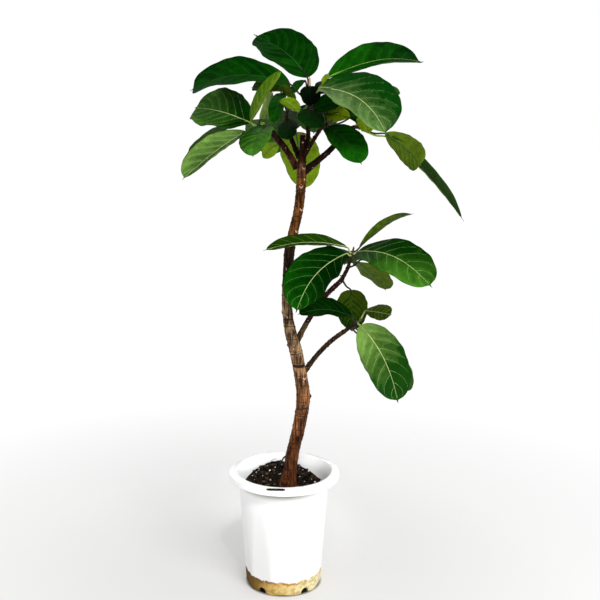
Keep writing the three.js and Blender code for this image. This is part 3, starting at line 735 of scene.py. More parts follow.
def pot_material(name, is_neck=False):
    """Satin white plastic, stained by wet soil at the foot, with painted shade on the neck under the rim.
    """
    material, nodes = new_material(name, (0.93, 0.935, 0.93), 0.32)
    axes = nodes.axes()
    across = nodes.span(axes["X"], -STAIN["reach"], STAIN["reach"])
    ragged = {0: nodes.noise(48, 6, (1, 1, 0.6)), 1: STAIN["ragged"], 2: axes["Z"]}
    height = nodes.node("Math", ragged, operation="MULTIPLY_ADD").outputs["Value"]
    blots = nodes.ramp(nodes.noise(95, 5), ((0.35, (0.62, 0.56, 0.46)), (0.55, 1)))
    flecks = nodes.ramp(nodes.noise(60, 5), ((0.40, 0), (0.52, 1)))
    near_edge = nodes.times(flecks, nodes.span(height, *STAIN["near_edge"]))
    zone = nodes.times(nodes.ramp(across, STAIN_ZONE), blots)
    foot = nodes.mix(near_edge, zone, nodes.ramp(across, STAIN_RIM))
    haze = nodes.ramp(nodes.noise(9), ((0.4, (0.91, 0.915, 0.91)), (0.65, (0.955, 0.96, 0.955))))
    base = nodes.mix(nodes.span(height, *STAIN["edge"]), foot, haze)
    if is_neck:
        # Painted shade under the rim, strongest on the left and fading out towards the right
        share = nodes.ramp(across, ((0.55, 0.95), (0.95, 0)))
        base = nodes.mix(share, base, nodes.times(base, nodes.ramp(axes["Z"], NECK_PAINTED_SHADE)))
    for socket, stained, clean in (("Specular IOR Level", 0.08, 0.5), ("Roughness", 0.9, 0.32)):
        nodes.set({socket: nodes.span(height, *STAIN["edge"], stained, clean)})
    nodes.set({"Base Color": base})
    nodes.bump(nodes.noise(160, 3), 0.05, 0.0004)
    return material


def soil_material():
    material, nodes = new_material("soil_mix", (0.02, 0.014, 0.010), 0.95, 0.15)
    stops = ((0.3, (0.002, 0.0015, 0.001)), (0.6, (0.014, 0.009, 0.006)), (0.8, (0.045, 0.028, 0.018)))
    nodes.set({"Base Color": nodes.ramp(nodes.noise(260, 6), stops)})
    nodes.bump(nodes.noise(420, 6), 0.8, 0.002)
    return material


def floor_material():
    """Pale floor that turns white away from the plant, painted dark under the pot as its shadow."""
    material, nodes = new_material("studio_floor", (0.8, 0.8, 0.8), 0.8, 0.2)
    length = nodes.node("VectorMath", {0: nodes.place()}, operation="LENGTH").outputs["Value"]
    reach = nodes.span(length, 0.0, 1.3)
    nodes.set({"Emission Color": (1, 1, 1)})
    # The dark first stop under the pot is a painted shadow
    nodes.set({"Base Color": nodes.ramp(reach, FLOOR_TONE_AND_PAINTED_SHADOW)})
    nodes.set({"Emission Strength": nodes.ramp(reach, FLOOR_GLOW)})
    return material


# Pot
def cone_radius(height):
    slope = (NECK_OUTER - FOOT_CORNER) / (POT_HEIGHT - RIM_DROP - BAND_HEIGHT)
    return FOOT_CORNER + slope * height


def body_radius(height, angles, inset=0.0):
    """Outer radius of the pot's body: the cone, cut by ten flats that end in arches."""
    half = math.pi / POT_FLATS
    foot = FOOT_CORNER * math.cos(half)
    arch = cone_radius(ARCH_TOP)
    flat = foot + (arch - foot) * height / ARCH_TOP - inset
    turn = (angles + math.pi / 2 + half) % (2 * half) - half
    planed = flat / np.cos(turn)
    cone = cone_radius(height) - inset
    return 0.5 * (planed + cone - np.sqrt((planed - cone) ** 2 + ARCH_BLEND**2))


def rim_profile():
    """Outline of the rim's section from the neck's outside over the rim to its inside."""
    crease = POT_HEIGHT - RIM_DROP
    band = crease - BAND_HEIGHT
    steps = (
        (NECK_OUTER, band, ((2, -30), (6, -5), (14, 30), (30, 58))),
        (RIM_INNER, POT_HEIGHT, ((40, -42),)),
        (RIM_OUTER - BAND_WALL, crease, ((-40, -12), (-4, -26), (0, -40))),
        (RIM_OUTER - BAND_WALL, band, ((0, 6), (6, 1))),
        (RIM_OUTER, band, ((-8, 0), (-2, 4), (0, 10))),
        (RIM_OUTER, crease, ((0, -12), (-3, -3), (-12, 4), (-24, 8))),
        (RIM_INNER, POT_HEIGHT, ((60, -8), (30, -1), (14, 0), (4, -5), (-2, -18), (-16, -60))),
    )
    tenth = 0.0001
    return [(radius + out * tenth, height + up * tenth) for radius, height, row in steps for out, up in row]


def prism(outline, low, high):
    """A prism whose outline lies in X and Z, from low to high along Y."""
    count = len(outline)
    points = [(x, y, z) for y in (low, high) for x, z in outline]
    faces = [list(range(count)), list(range(2 * count - 1, count - 1, -1))]
    faces += [[i + count, (i + 1) % count + count, (i + 1) % count, i] for i in range(count)]
    return np.array(points), faces


def drain_cutters():
    """Cutters of the notches in the foot ring and of the holes in the floor, each under a flat."""
    past = 0.002
    half = NOTCH["width"] / 2
    arc = around(half, np.linspace(0, math.pi, 13), 0)[:, :2] + (0, NOTCH["height"] - half)
    notch = prism([(-half, -past), (half, -past), *arc], -0.095, -0.060)
    ring = around(HOLE["radius"], turns(20), 0)[:, :2] - (0, HOLE["circle"])
    points, faces = prism(ring, FLOOR_LOW - past, FLOOR_HIGH + past)
    hole = points[:, [0, 2, 1]], [face[::-1] for face in faces]
    for i in range(NOTCH["count"]):
        turn = TURN * (NOTCH["first"] + i * POT_FLATS / NOTCH["count"]) / POT_FLATS
        c, s = math.cos(turn), math.sin(turn)
        for points, faces in (notch, hole):
            yield points @ np.array([[c, s, 0], [-s, c, 0], [0, 0, 1]]), faces


def make_pot():
    angles = turns(360)
    ring_inner = FOOT_CORNER * math.cos(math.pi / POT_FLATS) - RING_WALL
    neck = POT_HEIGHT - RIM_DROP - BAND_HEIGHT - 0.004
    foot = body_radius(0, angles)
    corner = body_radius(FLOOR_HIGH, angles, POT_WALL)
    rows = [(PAD_RADIUS - 0.001, 0.0), (PAD_RADIUS, 0.0008), (PAD_RADIUS, FLOOR_LOW - 0.001)]
    rows += [(PAD_RADIUS + 0.001, FLOOR_LOW), (ring_inner - 0.001, FLOOR_LOW)]
    rows += [(ring_inner, FLOOR_LOW - 0.001), (ring_inner, 0.0008), (ring_inner + 0.0008, 0.0)]
    rows += [(foot - 0.001, 0.0), (foot - 0.0002, 0.0004)]
    rows += [(body_radius(z, angles), z) for z in np.linspace(0.0012, neck, 64)]
    # Rows of the neck under the rim that take the painted shade
    neck_from = sum(1 for _, z in rows if z < NECK_PAINTED_SHADE[0][0]) - 1
    neck_to = len(rows) + 2
    rows += rim_profile()
    heights = np.linspace(neck + 0.001, FLOOR_HIGH + 0.002, 30)
    rows += [(body_radius(z, angles, POT_WALL), z) for z in heights]
    rows += [(corner - 0.0008, FLOOR_HIGH + 0.0004), (corner - 0.002, FLOOR_HIGH)]
    slots = np.zeros((len(rows) - 1, 1), int)
    slots[neck_from:neck_to] = 1
    rings = np.array([around(radius, angles, height) for radius, height in rows])
    pool, cutters = Pool(), Pool()
    pool.add_rings(rings, (0, 0, 0), (0, 0, FLOOR_HIGH), slots)
    materials = [pot_material("pot_plastic"), pot_material("pot_neck", is_neck=True)]
    pot = pool.piece("nursery_pot", materials, "pot", ["pot"])
    for points, faces in drain_cutters():
        cutters.add(points, faces)
    tool = new_mesh("drains", np.concatenate(cutters.points), cutters.faces)
    cut = pot.modifiers.new("cut", "BOOLEAN")
    cut.operation = "DIFFERENCE"
    cut.solver = "MANIFOLD"
    cut.object = tool
    with bpy.context.temp_override(object=pot, active_object=pot, selected_objects=[pot]):
        bpy.ops.object.modifier_apply(modifier=cut.name)
    bpy.data.objects.remove(tool, do_unlink=True)
    shade_smooth(pot.data, sharp=32)


# Soil
def soil_height(x, y):
    """Height of the soil's surface: a low mound, heaped higher behind the trunk."""
    fall = np.clip((np.hypot(x, y) - SOIL_FLAT) / (RIM_INNER - SOIL_FLAT), 0, 1)
    ground = blend(SOIL_TOP, SOIL_EDGE, fall)
    right, back = HEAP["middle"]
    heap = np.interp(np.hypot(x - right, y - back), HEAP["reach"], HEAP["height"])
    return 0.5 * (ground + heap + np.sqrt((ground - heap) ** 2 + HEAP["blend"] ** 2))


def make_soil():
    angles = turns(200)
    inset = POT_WALL + GAP
    low = FLOOR_HIGH + GAP
    wall = body_radius(SOIL_EDGE, angles, inset)
    for _ in range(3):
        wall = body_radius(soil_height(wall * np.cos(angles), wall * np.sin(angles)), angles, inset)
    shares = np.linspace(0.01, 1, 70)[:, None]
    top = around(shares * wall, angles, 0.0)
    lumps = 0.0016 * noise_at(top, 55, 1) + 0.0011 * noise_at(top, 190, 2)
    top[..., 2] = soil_height(top[..., 0], top[..., 1]) + (1 - smooth((shares - 0.9) / 0.1)) * lumps
    heights = (0.19, 0.12, 0.06, low)
    skirt = [around(body_radius(height, angles, inset), angles, height) for height in heights]
    pool = Pool()
    pool.add_rings(np.concatenate([top, skirt])[::-1], (0, 0, low), (0, 0, float(soil_height(0, 0))))
    pool.piece("soil_surface", [soil_material()], "soil", ["soil"])


def lump_shapes(rng, count):
    """Round stones of the soil, each a ball with seeded dents."""
    shapes = []
    for _ in range(count):
        mesh = bmesh.new()
        bmesh.ops.create_icosphere(mesh, subdivisions=1, radius=1.0)
        points = np.array([vertex.co[:] for vertex in mesh.verts])
        faces = [[vertex.index for vertex in face.verts] for face in mesh.faces]
        mesh.free()
        dents = rng.uniform(0.68, 1.15, len(points))[:, None]
        shapes.append((points * dents, np.array(faces)))
    return shapes


def turned(points, rng, lies_flat=False):
    axis = unit(rng.normal(size=3))
    spin = np.array(Matrix.Rotation(rng.uniform(0, TURN), 3, Vector(axis)))
    lean = np.array(Matrix.Rotation(rng.normal(0, 0.315 if lies_flat else 0.35), 3, "X"))
    yaw = np.array(Matrix.Rotation(rng.uniform(0, TURN), 3, "Z"))
    return points @ lean.T @ yaw.T if lies_flat else points @ spin.T


def make_crumbs():
    """Loose crumbs, bark chips, perlite and fibres on the soil."""
    rng = np.random.default_rng(21)
    shapes = lump_shapes(rng, 8)
    pool = Pool()

    def spot(limit):
        angle = rng.uniform(0, TURN)
        reach = limit * math.sqrt(rng.uniform(0, 1))
        x, y = reach * math.cos(angle), reach * math.sin(angle)
        return np.array([x, y, float(soil_height(x, y))])

    for count, low, high, stretch, limit, lies_flat, share, lift, slots in CRUMBS:
        for _ in range(count):
            points, faces = shapes[rng.integers(len(shapes))]
            size = rng.uniform(low, high)
            middle = spot(limit) + (0, 0, share * size + lift)
            shape = turned(points * size * np.array(stretch), rng, lies_flat)
            pool.add(shape + middle, faces, int(rng.choice(slots)))
    for _ in range(FIBRE["count"]):
        start = spot(FIBRE["limit"])
        bearing = rng.uniform(0, TURN)
        length = rng.uniform(*FIBRE["length"])
        start = start + (0, 0, rng.uniform(0.001, 0.003))
        step = np.array([math.cos(bearing), math.sin(bearing), rng.uniform(-0.1, 0.25)]) * length
        bend = start + step * 0.5 + rng.normal(0, 0.0015, 3)
        path = (start, bend, start + step)
        slot = int(rng.choice(FIBRE["slots"]))
        add_tube(pool, path, lambda shares: np.full_like(shares, FIBRE["radius"]), 5, 6, slot)
    pool.piece("soil_crumbs", plain_materials(CRUMB_COLORS), "soil")


def make_rim_litter():
    """The dark splinter that lies on the rim, and specks of soil beside it."""
    rng = np.random.default_rng(5)
    pool = Pool()
    start, end = np.array(SPLINTER["start"]), np.array(SPLINTER["end"])
    rows, count = 16, len(SPLINTER["section"])
    shares = np.linspace(0, 1, rows)[:, None, None]
    ahead = unit(end - start)
    across = unit(np.cross((0, 0, 1), ahead))
    above = np.cross(ahead, across)
    tilt = math.radians(SPLINTER["tilt"])
    wide = across * math.cos(tilt) + above * math.sin(tilt)
    high = above * math.cos(tilt) - across * math.sin(tilt)
    section = np.array(SPLINTER["section"]) * SPLINTER["size"]
    section = section[:, :1] * wide + section[:, 1:] * high
    taper = 0.6 + 0.4 * np.minimum(1, np.minimum(6 * shares, 7 * (1 - shares)))
    rough = 1 + rng.uniform(-0.12, 0.12, (rows, count, 1))
    points = start + (end - start) * shares + section * taper * rough
    faces = list(grid_faces(rows, count, closed=True))
    faces += [list(range(count - 1, -1, -1)), list(range((rows - 1) * count, rows * count))]
    pool.add(points, faces)
    shapes = lump_shapes(rng, 4)
    for _ in range(SPECKS["count"]):
        angle = math.radians(rng.choice([rng.normal(-62, 7), rng.uniform(-180, 180)], p=[0.7, 0.3]))
        reach = rng.uniform(*SPECKS["reach"])
        height = POT_HEIGHT - 0.0046 * max(0.0, (reach - 0.1045) / 0.0143)
        shape, faces = shapes[rng.integers(len(shapes))]
        size = rng.uniform(*SPECKS["size"])
        pool.add(turned(shape * size, rng) + around(reach, angle, height + 0.3 * size), faces, 1)
    pool.piece("rim_litter", plain_materials(LITTER_COLORS), "soil")


# Trunk and boughs
def scar_rings(rng, low, high, short, long):
    """Heights, leans and bearings of the ring scars between two heights."""
    rings = []
    height = low
    while height < high:
        rings.append((height, rng.uniform(-0.0022, 0.0022), rng.uniform(0, TURN)))
        height += rng.uniform(short, long)
    return rings


def ring_relief(run, angles, rings, strength):
    """Swelling and groove of ring scars, with the share of each point that lies in a groove."""
    relief = np.zeros(np.broadcast_shapes(run.shape, angles.shape))
    groove = np.zeros_like(relief)
    for place, lean, bearing in rings:
        distance = run - place - lean * np.cos(angles - bearing)
        relief += strength * (bump_at(distance + 0.0020, 0.0020) - bump_at(distance, 0.0008))
        groove = np.maximum(groove, bump_at(distance, 0.0009))
    return relief, groove


def gap_to(bearing, angles, radius):
    """Distance round a limb from a bearing in radians to each angle."""
    return ((angles - bearing + np.pi) % TURN - np.pi) * radius


def make_trunk():
    height, x, y, radius = (column[:, None] for column in along(TRUNK_BENDS, np.linspace(0, 1, 560)).T)
    angles = turns(84)[None, :]
    middles = np.stack([x, y, 0 * x], -1)
    flare = np.clip(1 - (height - TRUNK_BENDS[0][0]) / FLARE["height"], 0, None)
    reach = radius * (1 + FLARE["depth"] * flare**2 * np.cos(FLARE["lobes"] * angles + FLARE["turn"]))
    rng = np.random.default_rng(3)
    scars = scar_rings(rng, 0.262, 0.75, 0.015, 0.033) + scar_rings(rng, 0.76, 0.985, 0.010, 0.021)
    relief, groove = ring_relief(height, angles, scars, 0.0007)
    flat = middles + around(reach, angles, height)
    relief = relief + 0.0005 * noise_at(flat, (60, 60, 45), 4) + 0.0003 * noise_at(flat, (320, 320, 60), 5)
    slots = np.where(groove > 0.72, 1, 0)
    ragged = 0.0008 * noise_at(flat, (200, 200, 90), 8)
    for place, half in DARK_RINGS:
        distance = height - place - 0.0012 * np.cos(angles + 60 * place) - ragged
        relief = relief - 0.0006 * bump_at(distance, 2 * half)
        slots[np.abs(distance) < half] = 1
    cracks = noise_at(flat, (420, 420, 38), 6)
    relief = relief - 0.0005 * smooth((cracks - 0.28) / 0.2)
    slots[cracks > 0.47] = 1
    for place, bearing, size in KNOBS:
        gap = gap_to(math.radians(bearing), angles, reach)
        relief = relief + 0.62 * size * bump_at(np.hypot(gap, height - place), 0.72 * size)
    for k, (place, _, _) in enumerate(scars):
        gap = gap_to(math.radians(GOLDEN_ANGLE * k), angles, reach)
        drop = height - place + 0.0042
        relief = relief + 0.0007 * bump_at(np.hypot(gap / 1.3, drop), 0.0026)
        if rng.uniform() < 0.35 and place > LOWEST_DOT:
            slots[np.hypot(gap / 1.4, drop) < 0.0014] = 2
    for place, bearing in PALE_SCARS:
        gap = gap_to(math.radians(bearing), angles, reach)
        drop = height - place
        vee = np.abs(drop + 0.0022 - 0.9 * np.abs(gap))
        slots[(vee < 0.0013) & (np.abs(gap) < 0.0042)] = 2
        relief = relief + 0.0006 * bump_at(np.hypot(gap, drop), 0.0040)
    specks = noise_at(flat, (300, 300, 220), 7)
    slots[(specks > 0.66) & (groove < 0.3) & (height > LOWEST_DOT)] = 2
    cut = smooth((height - 0.9905) / 0.006)
    slots[(cut > 0.35)[:, 0]] = 3
    points = middles + around((reach + relief) * (1 - 0.32 * cut**2), angles, height)
    pool = Pool()
    pool.add_rings(points, points[0].mean(0), points[-1].mean(0) + (0, 0, 0.0004), slots[:-1], (0, 3))
    for path, radii in AIR_ROOTS:
        add_tube(pool, path, lambda shares, ends=radii: blend(*ends, shares), 10, 14, 4)
    bark = bark_material("trunk_bark", (0.08, 0.04, 0.02), (0.3, 0.18, 0.1), TRUNK_BANDS_WITH_PAINTED_SHADE)
    pool.piece("trunk_bark", [bark, *plain_materials(TRUNK_COLORS)], "bark", ["trunk"])


def make_boughs():
    """Each bough, with its collar at the trunk, ring scars, leaf scars and pale pores."""
    pool = Pool()
    angles = turns(36)[None, :]
    for number, (name, shoot) in enumerate(SHOOTS.items()):
        rng = np.random.default_rng(40 + number)
        path = shoot["bough"]
        length = float(np.linalg.norm(np.diff(np.asarray(path), axis=0), axis=1).sum())
        shares = np.linspace(0, 1, int(length / 0.0011))[:, None]
        middles, side, up, ahead = limb_frame(path, shares[:, 0])
        foot = np.clip(1 - shares / COLLAR["end"], 0, None)
        radii = blend(*shoot["radii"], shares) * (1 + COLLAR["swell"] * foot**2)
        run = shares * length
        scars = scar_rings(rng, 0.012, length, 0.008, 0.019)
        relief, groove = ring_relief(run, angles, scars, 0.000525)
        flat = ring_points(middles, side, up, radii + 0 * angles)
        relief = relief + 0.0003 * noise_at(flat, 110, 8)
        lower, upper, change = BOUGH_BARKS.get(name, (0, 0, 0.0))
        slots = np.where(run + 0.006 * noise_at(flat, 90, 9) < change, lower, upper)
        slots[groove > 0.8] = 3
        for k, (place, _, _) in enumerate(scars):
            gap = gap_to(math.radians(GOLDEN_ANGLE * k + 40 * number), angles, radii)
            distance = np.hypot(gap, run - place + 0.003)
            relief = relief + 0.0008 * bump_at(distance, 0.0022)
            slots[distance < rng.uniform(0.0006, 0.0014)] = 4
        for _ in range(int(length / 0.012)):
            place, bearing = rng.uniform(0.01, length), rng.uniform(0, TURN)
            gap = gap_to(bearing, angles, radii)
            slots[np.hypot(gap, run - place) < rng.uniform(0.0004, 0.0010)] = 4
        points = ring_points(middles, side, up, radii + relief)
        pool.add_rings(points, middles[0], middles[-1] + ahead[-1] * 0.0008, slots[:-1])
    materials = [bark_material(*row) for row in BOUGH_COLORS] + plain_materials(SCAR_COLORS)
    pool.piece("bough_bark", materials, "bark", [f"bough_{name}" for name in SHOOTS])


# Leaves
def direction(bearing, rise):
    b, r = math.radians(bearing), math.radians(rise)
    return np.array([math.cos(r) * math.cos(b), math.cos(r) * math.sin(b), math.sin(r)])


def half_width(share, widest):
    body = np.clip(share / BODY_END, 1e-9, 1 - 1e-9)
    rest = 1 - widest
    full = (body / widest) ** widest * ((1 - body) / rest) ** rest
    return np.where(share > TIP_FROM, np.maximum(full, TIP_SLOPE * (1 - share)), full)


class Leaf:
    """One leaf: its place on the stem, its blade's frame and its seeded ripples."""

    def __init__(self, stem, row, seed):
        self.at, self.stalk, blade, pose, (self.tone, *self.shade), self.stalk_tone = row
        bearing, rise, self.length, self.width = blade
        roll, self.bow, self.sweep, cup, self.widest, *drip = pose
        self.root = along(stem, self.at)
        self.base = self.root + direction(*self.stalk[:2]) * self.stalk[2]
        self.chord = direction(bearing, rise)
        level = direction(bearing + 90, 0)
        above = np.cross(self.chord, level)
        turn = math.radians(roll)
        self.side = level * math.cos(turn) + above * math.sin(turn)
        self.up = above * math.cos(turn) - level * math.sin(turn)
        self.cup = math.radians(cup) + 1e-6
        rng = np.random.default_rng(seed)
        self.phases = rng.uniform(0, TURN, 4)
        self.ripples = rng.uniform(1.6, 2.8)
        self.ripple = rng.uniform(0.014, 0.030) * self.width
        self.shift = rng.uniform(-0.02, 0.02)
        self.tip = drip[0] if drip else rng.uniform(*DRIP_TIP)
        self.panels = rng.uniform(-0.13, 0.13, (LATERALS + 3, 2))
        self.seed = seed

    def frame(self, share):
        """Middle, left side and upper side of the blade at each share of its length."""
        share = np.asarray(share, float)[..., None]
        bulge, slope = 4 * share * (1 - share), 4 * (1 - 2 * share)
        lean = (self.up * self.bow + self.side * self.sweep) * self.length * bulge
        drip = self.chord * self.tip * np.clip((share - TIP_FROM) / (1 - TIP_FROM), 0, 1) ** 2
        middle = self.base + self.chord * self.length * share + lean + drip
        pitch, yaw = np.arctan(self.bow * slope), np.arctan(self.sweep * slope)
        face = self.up * np.cos(pitch) - self.chord * np.sin(pitch)
        edge = self.side * np.cos(yaw) - self.chord * np.sin(yaw)
        return middle, edge, face

    def cupped(self, share, across):
        """Places and directions out of the cupped blade, before its ripples."""
        middle, side, up = self.frame(share)
        half = (self.width / 2 * half_width(share, self.widest))[..., None]
        angle = (across * self.cup)[..., None]
        offset = (side * np.sin(angle) + up * (1 - np.cos(angle))) / self.cup
        return middle, half, offset, up * np.cos(angle) - side * np.sin(angle)

    def lateral_start(self, number, across):
        """Share of the length at which a side vein passes, at each share of the half width."""
        reach = np.abs(across)
        rise = 0.40 * self.width / self.length * reach * (0.8 + 0.6 * reach)
        return FIRST_LATERAL + self.shift + VEIN_STEP * (number + np.where(across < 0, 0.35, 0.0)) + rise

    def phase(self, share, across):
        """How many side veins lie below each place on its side of the midrib."""
        return (share - self.lateral_start(0, across)) / VEIN_STEP

    def levels(self, share, across, points):
        """Painted light and shade of each face of the upper skin, over its own tone: by place, by panel
        between veins and by a fine spray.
        """
        base, along_it, across_it = self.shade
        phase = self.phase(share, across)
        number = np.clip(np.floor(phase).astype(int) + 2, 0, LATERALS + 2)
        panel = self.panels[number, (across < 0).astype(int)]
        reach = np.abs(across)
        ridge = 0.10 * np.cos(TURN * phase) * smooth(reach / 0.2) * (1 - reach**4)
        # The leaf's slopes towards its tip and its left paint sheen and shade over its own tone
        level = 0.5 + base + along_it * (2 * share - 1) + across_it * across + panel + ridge
        level = level + 0.22 * noise_at(points, 30, self.seed)
        level = level + 0.10 * noise_at(points, 120, self.seed + 3)
        return np.clip(np.round(level * (LEVELS - 1)), 0, LEVELS - 1).astype(int)

    def sheet(self, share, across):
        """Points and normals of the blade's middle sheet, with its quilting and ripples."""
        share, across = np.broadcast_arrays(np.asarray(share, float), np.asarray(across, float))
        reach = np.abs(across)
        middle, half, offset, normal = self.cupped(share, across)
        wander = 0.018 * np.sin(9 * share + self.phases[2]) + 0.010 * np.sin(23 * share + self.phases[3])
        wander = wander + 0.012 * np.cos(TURN * self.phase(share, np.sign(across)))
        half = half * (1 + wander * reach)[..., None]
        window = smooth(reach / 0.25) * (1 - reach**6) * smooth((0.97 - share) / 0.1)
        quilt = 0.010 * self.width * (0.5 - 0.5 * np.cos(TURN * self.phase(share, across))) * window
        groove = -0.014 * self.width * bump_at(across, 0.14) * smooth((1 - share) / 0.2)
        start = np.where(across < 0, self.phases[0], self.phases[1])
        wave = self.ripple * reach**3 * np.sin(TURN * self.ripples * share + start)
        fade = np.clip(half[..., 0] / (0.25 * self.width), 0, 1)
        return middle + offset * half + normal * ((quilt + groove + wave) * fade)[..., None], normal


def add_blade(pool, leaf, slot):
    """Two skins that share their edge: the upper in its tone's painted shades and the lower in the slot
    after.
    """
    shares = np.concatenate([[0.004, 0.012], np.linspace(0.025, 0.985, LEAF_ROWS), [0.993, 0.998]])
    across = np.linspace(-1, 1, LEAF_COLUMNS)
    rows = len(shares)
    point, normal = leaf.sheet(shares[:, None], across[None, :])
    thick = (LEAF_THICK / 2 * (1 - across**8))[None, :, None]
    upper = (point + normal * thick).reshape(-1, 3)
    lower = (point - normal * thick)[:, 1:-1].reshape(-1, 3)
    ends = leaf.frame([0.0, 1.0])[0]
    first = len(upper) + len(lower)
    top = np.arange(rows * LEAF_COLUMNS).reshape(rows, LEAF_COLUMNS)
    under = top.copy()
    under[:, 1:-1] = np.arange(len(upper), first).reshape(rows, -1)
    middles = np.meshgrid((shares[:-1] + shares[1:]) / 2, (across[:-1] + across[1:]) / 2, indexing="ij")
    levels = leaf.levels(*middles, point[:-1, :-1])
    upper_slots = slot + np.concatenate([levels.reshape(-1), levels[0], levels[-1]])
    lower_slots = np.full(len(upper_slots), slot + LEVELS)
    faces = []
    for index, turn in ((top, -1), (under, 1)):
        corners = (index[:-1, :-1], index[:-1, 1:], index[1:, 1:], index[1:, :-1])
        quads = np.stack(corners, -1).reshape(-1, 4)
        fans = [[first, b, a] for a, b in zip(index[0, :-1], index[0, 1:])]
        fans += [[first + 1, a, b] for a, b in zip(index[-1, :-1], index[-1, 1:])]
        faces += [list(face)[::turn] for face in [*quads, *fans]]
    pool.add(np.concatenate([upper, lower, ends]), faces, np.concatenate([upper_slots, lower_slots]))


def add_vein(pool, leaf, shares, across, width, lift, face, slot):
    """A slim ridge on one face of a blade: face 1 is the upper one and -1 the lower."""
    point, normal = leaf.sheet(shares, across)
    out = normal * face
    wide = unit(np.cross(out, unit(np.gradient(point, axis=0)))) * width[:, None] / 2
    skin = point + out * LEAF_THICK / 2
    section = ((-1, -0.00012, 0), (-0.45, 0, 0.8), (0, 0, 1), (0.45, 0, 0.8), (1, -0.00012, 0))
    rows = [skin + wide * side + out * (sink + lift[:, None] * high) for side, sink, high in section]
    pool.add(np.stack(rows, 1), grid_faces(len(point), len(section)), slot)


def add_veins(pool, leaf, slot, midrib_slot):
    bold = leaf.width / 0.1
    shares = np.linspace(0.0, 0.955, 56)
    flat = np.zeros_like(shares)
    fade = 1 - shares
    thick = fade * bold
    add_vein(pool, leaf, shares, flat, 0.0006 + 0.0022 * thick, 0.0003 + 0.0003 * fade, 1, midrib_slot)
    add_vein(pool, leaf, shares, flat, 0.0010 + 0.0028 * thick, 0.0004 + 0.0016 * thick, -1, midrib_slot)
    steps = np.linspace(0.02, 0.90, 24)
    for number in range(LATERALS + 1):
        for sign in (-1, 1):
            line = leaf.lateral_start(number, sign * steps)
            kept = line < 0.95
            if kept.sum() < 4 or line[0] < 0.02:
                continue
            run, over, fade = line[kept], (sign * steps)[kept], (1 - steps)[kept]
            slim = 0.0002 + 0.0005 * fade * bold
            add_vein(pool, leaf, run, over, slim, 0.00016 + 0.0001 * fade, 1, slot)
            add_vein(pool, leaf, run, over, slim * 1.4, 0.0002 + 0.0005 * fade, -1, slot)


def add_stalk(pool, leaf, slot):
    sag = np.array([0, 0, -STALK["sag"] * leaf.stalk[2]])
    path = (leaf.root, (leaf.root + leaf.base) / 2 + sag, leaf.base, leaf.frame(STALK["overlap"])[0])

    def radius_at(shares):
        swell = 1 + 0.35 * bump_at(shares, 0.10) - 0.45 * smooth((shares - 0.8) / 0.2)
        return blend(STALK["radius"], STALK["tip"], shares) * swell

    add_tube(pool, path, radius_at, 10, 22, slot)


def limb_points():
    """Places all along every limb, which fill leaves keep clear of."""
    paths = [shoot["bough"] for shoot in SHOOTS.values()]
    paths.append([(x, y, z) for z, x, y, _ in TRUNK_BENDS])
    return np.concatenate([along(path, np.arange(41) / 40) for path in paths])


def has_room(stem, leaf, limbs):
    share, across = np.meshgrid(BLADE_STATIONS, (-1, 0, 1))
    middle, half, offset, _ = leaf.cupped(share, across)
    points = (middle + offset * half).reshape(-1, 3)
    clear = np.linalg.norm(limbs[:, None] - points, axis=-1).min() >= LIMB_CLEARANCE
    return clear and np.linalg.norm(points - along(stem, 0.5), axis=-1).max() < SHOOT_REACH


def fill_rows(shoot):
    """Leaves of the hidden side, spread round the stem by the golden section with seeded sizes."""
    count, first, spread, lift, rise, state = shoot["fill"]

    def random():
        nonlocal state
        state = (state * 1664525 + 1013904223) % 2**32
        return state / 2**32

    for i in range(count):
        bearing = first + spread * ((i * GOLDEN_SECTION) % 1)
        slant = rise - FILL["rise_spread"] * random()
        length = FILL["length"] + FILL["length_spread"] * random()
        stalk = FILL["stalk"] + FILL["stalk_spread"] * random()
        roll = FILL["roll_spread"] * (random() - 0.5)
        yield (
            FILL["first"] - FILL["run"] * (i / count),
            (bearing, lift, stalk),
            (bearing, slant, length, length * FILL["width_share"]),
            (roll, FILL["bow"], 0, FILL["cup"], FILL["widest"]),
            (FILL_TONES[i % len(FILL_TONES)], 0, 0.2 * random() - 0.1, 0.4 * random() - 0.2),
            "dark",
        )


def add_stem(pool, name, leaves, seed):
    """The leafy stem: bark rings at each leaf, papery scales and the bud at its tip."""
    rng = np.random.default_rng(seed)
    stem = np.array(SHOOTS[name]["stem"])
    thick = SHOOTS[name]["radii"][1] * STEM_START

    def radius_at(shares):
        rings = [0.0008 * bump_at(shares - leaf.at, 0.035) for leaf in leaves]
        return blend(thick, STEM_TIP, shares) + sum(rings)

    def relief(shares, angles):
        return 0.0003 * np.sin(46 * shares + 2 * np.sin(angles + 5 * shares))

    start = stem[0] - unit(stem[1] - stem[0]) * 0.0015
    add_tube(pool, (start, *stem[1:]), radius_at, 20, 60, 0, relief)
    tip, ahead = stem[-1], unit(stem[-1] - stem[-2])
    length, width, lean = BUDS.get(name, BUDS["other"])
    aim = unit(ahead + (lean, 0, 0)) * length
    bud = (tip, tip + aim * 0.4 + rng.normal(0, 0.0006, 3), tip + aim)

    def bud_radius(shares):
        return width * np.sqrt(np.clip(1 - shares, 0.0004, 1)) * (0.7 + 0.8 * shares)

    add_tube(pool, bud, bud_radius, 14, 20, 2 if name in BUDS else 1)
    outline = np.linspace(0, 1, 7)[:, None]
    for _ in range(5):
        root = along(stem, rng.uniform(0.1, 1.0))
        out = unit(rng.normal(size=3) + ahead * 1.2)
        wide = unit(np.cross(out, rng.normal(size=3)))
        middle = root + out * (0.002 + rng.uniform(0.007, 0.014) * outline)
        half = 0.0021 * np.sin(np.pi * (0.15 + 0.85 * outline)) * wide
        curl = np.cross(out, wide) * 0.0012
        rows = np.stack([middle - half + curl, middle - curl * 0.5, middle + half + curl], 1)
        pool.add(rows, grid_faces(7, 3), 3)


def tone_materials(kind, tones, *surface):
    return {name: plain_material(f"{kind}_{name}", color, *surface) for name, color in tones.items()}


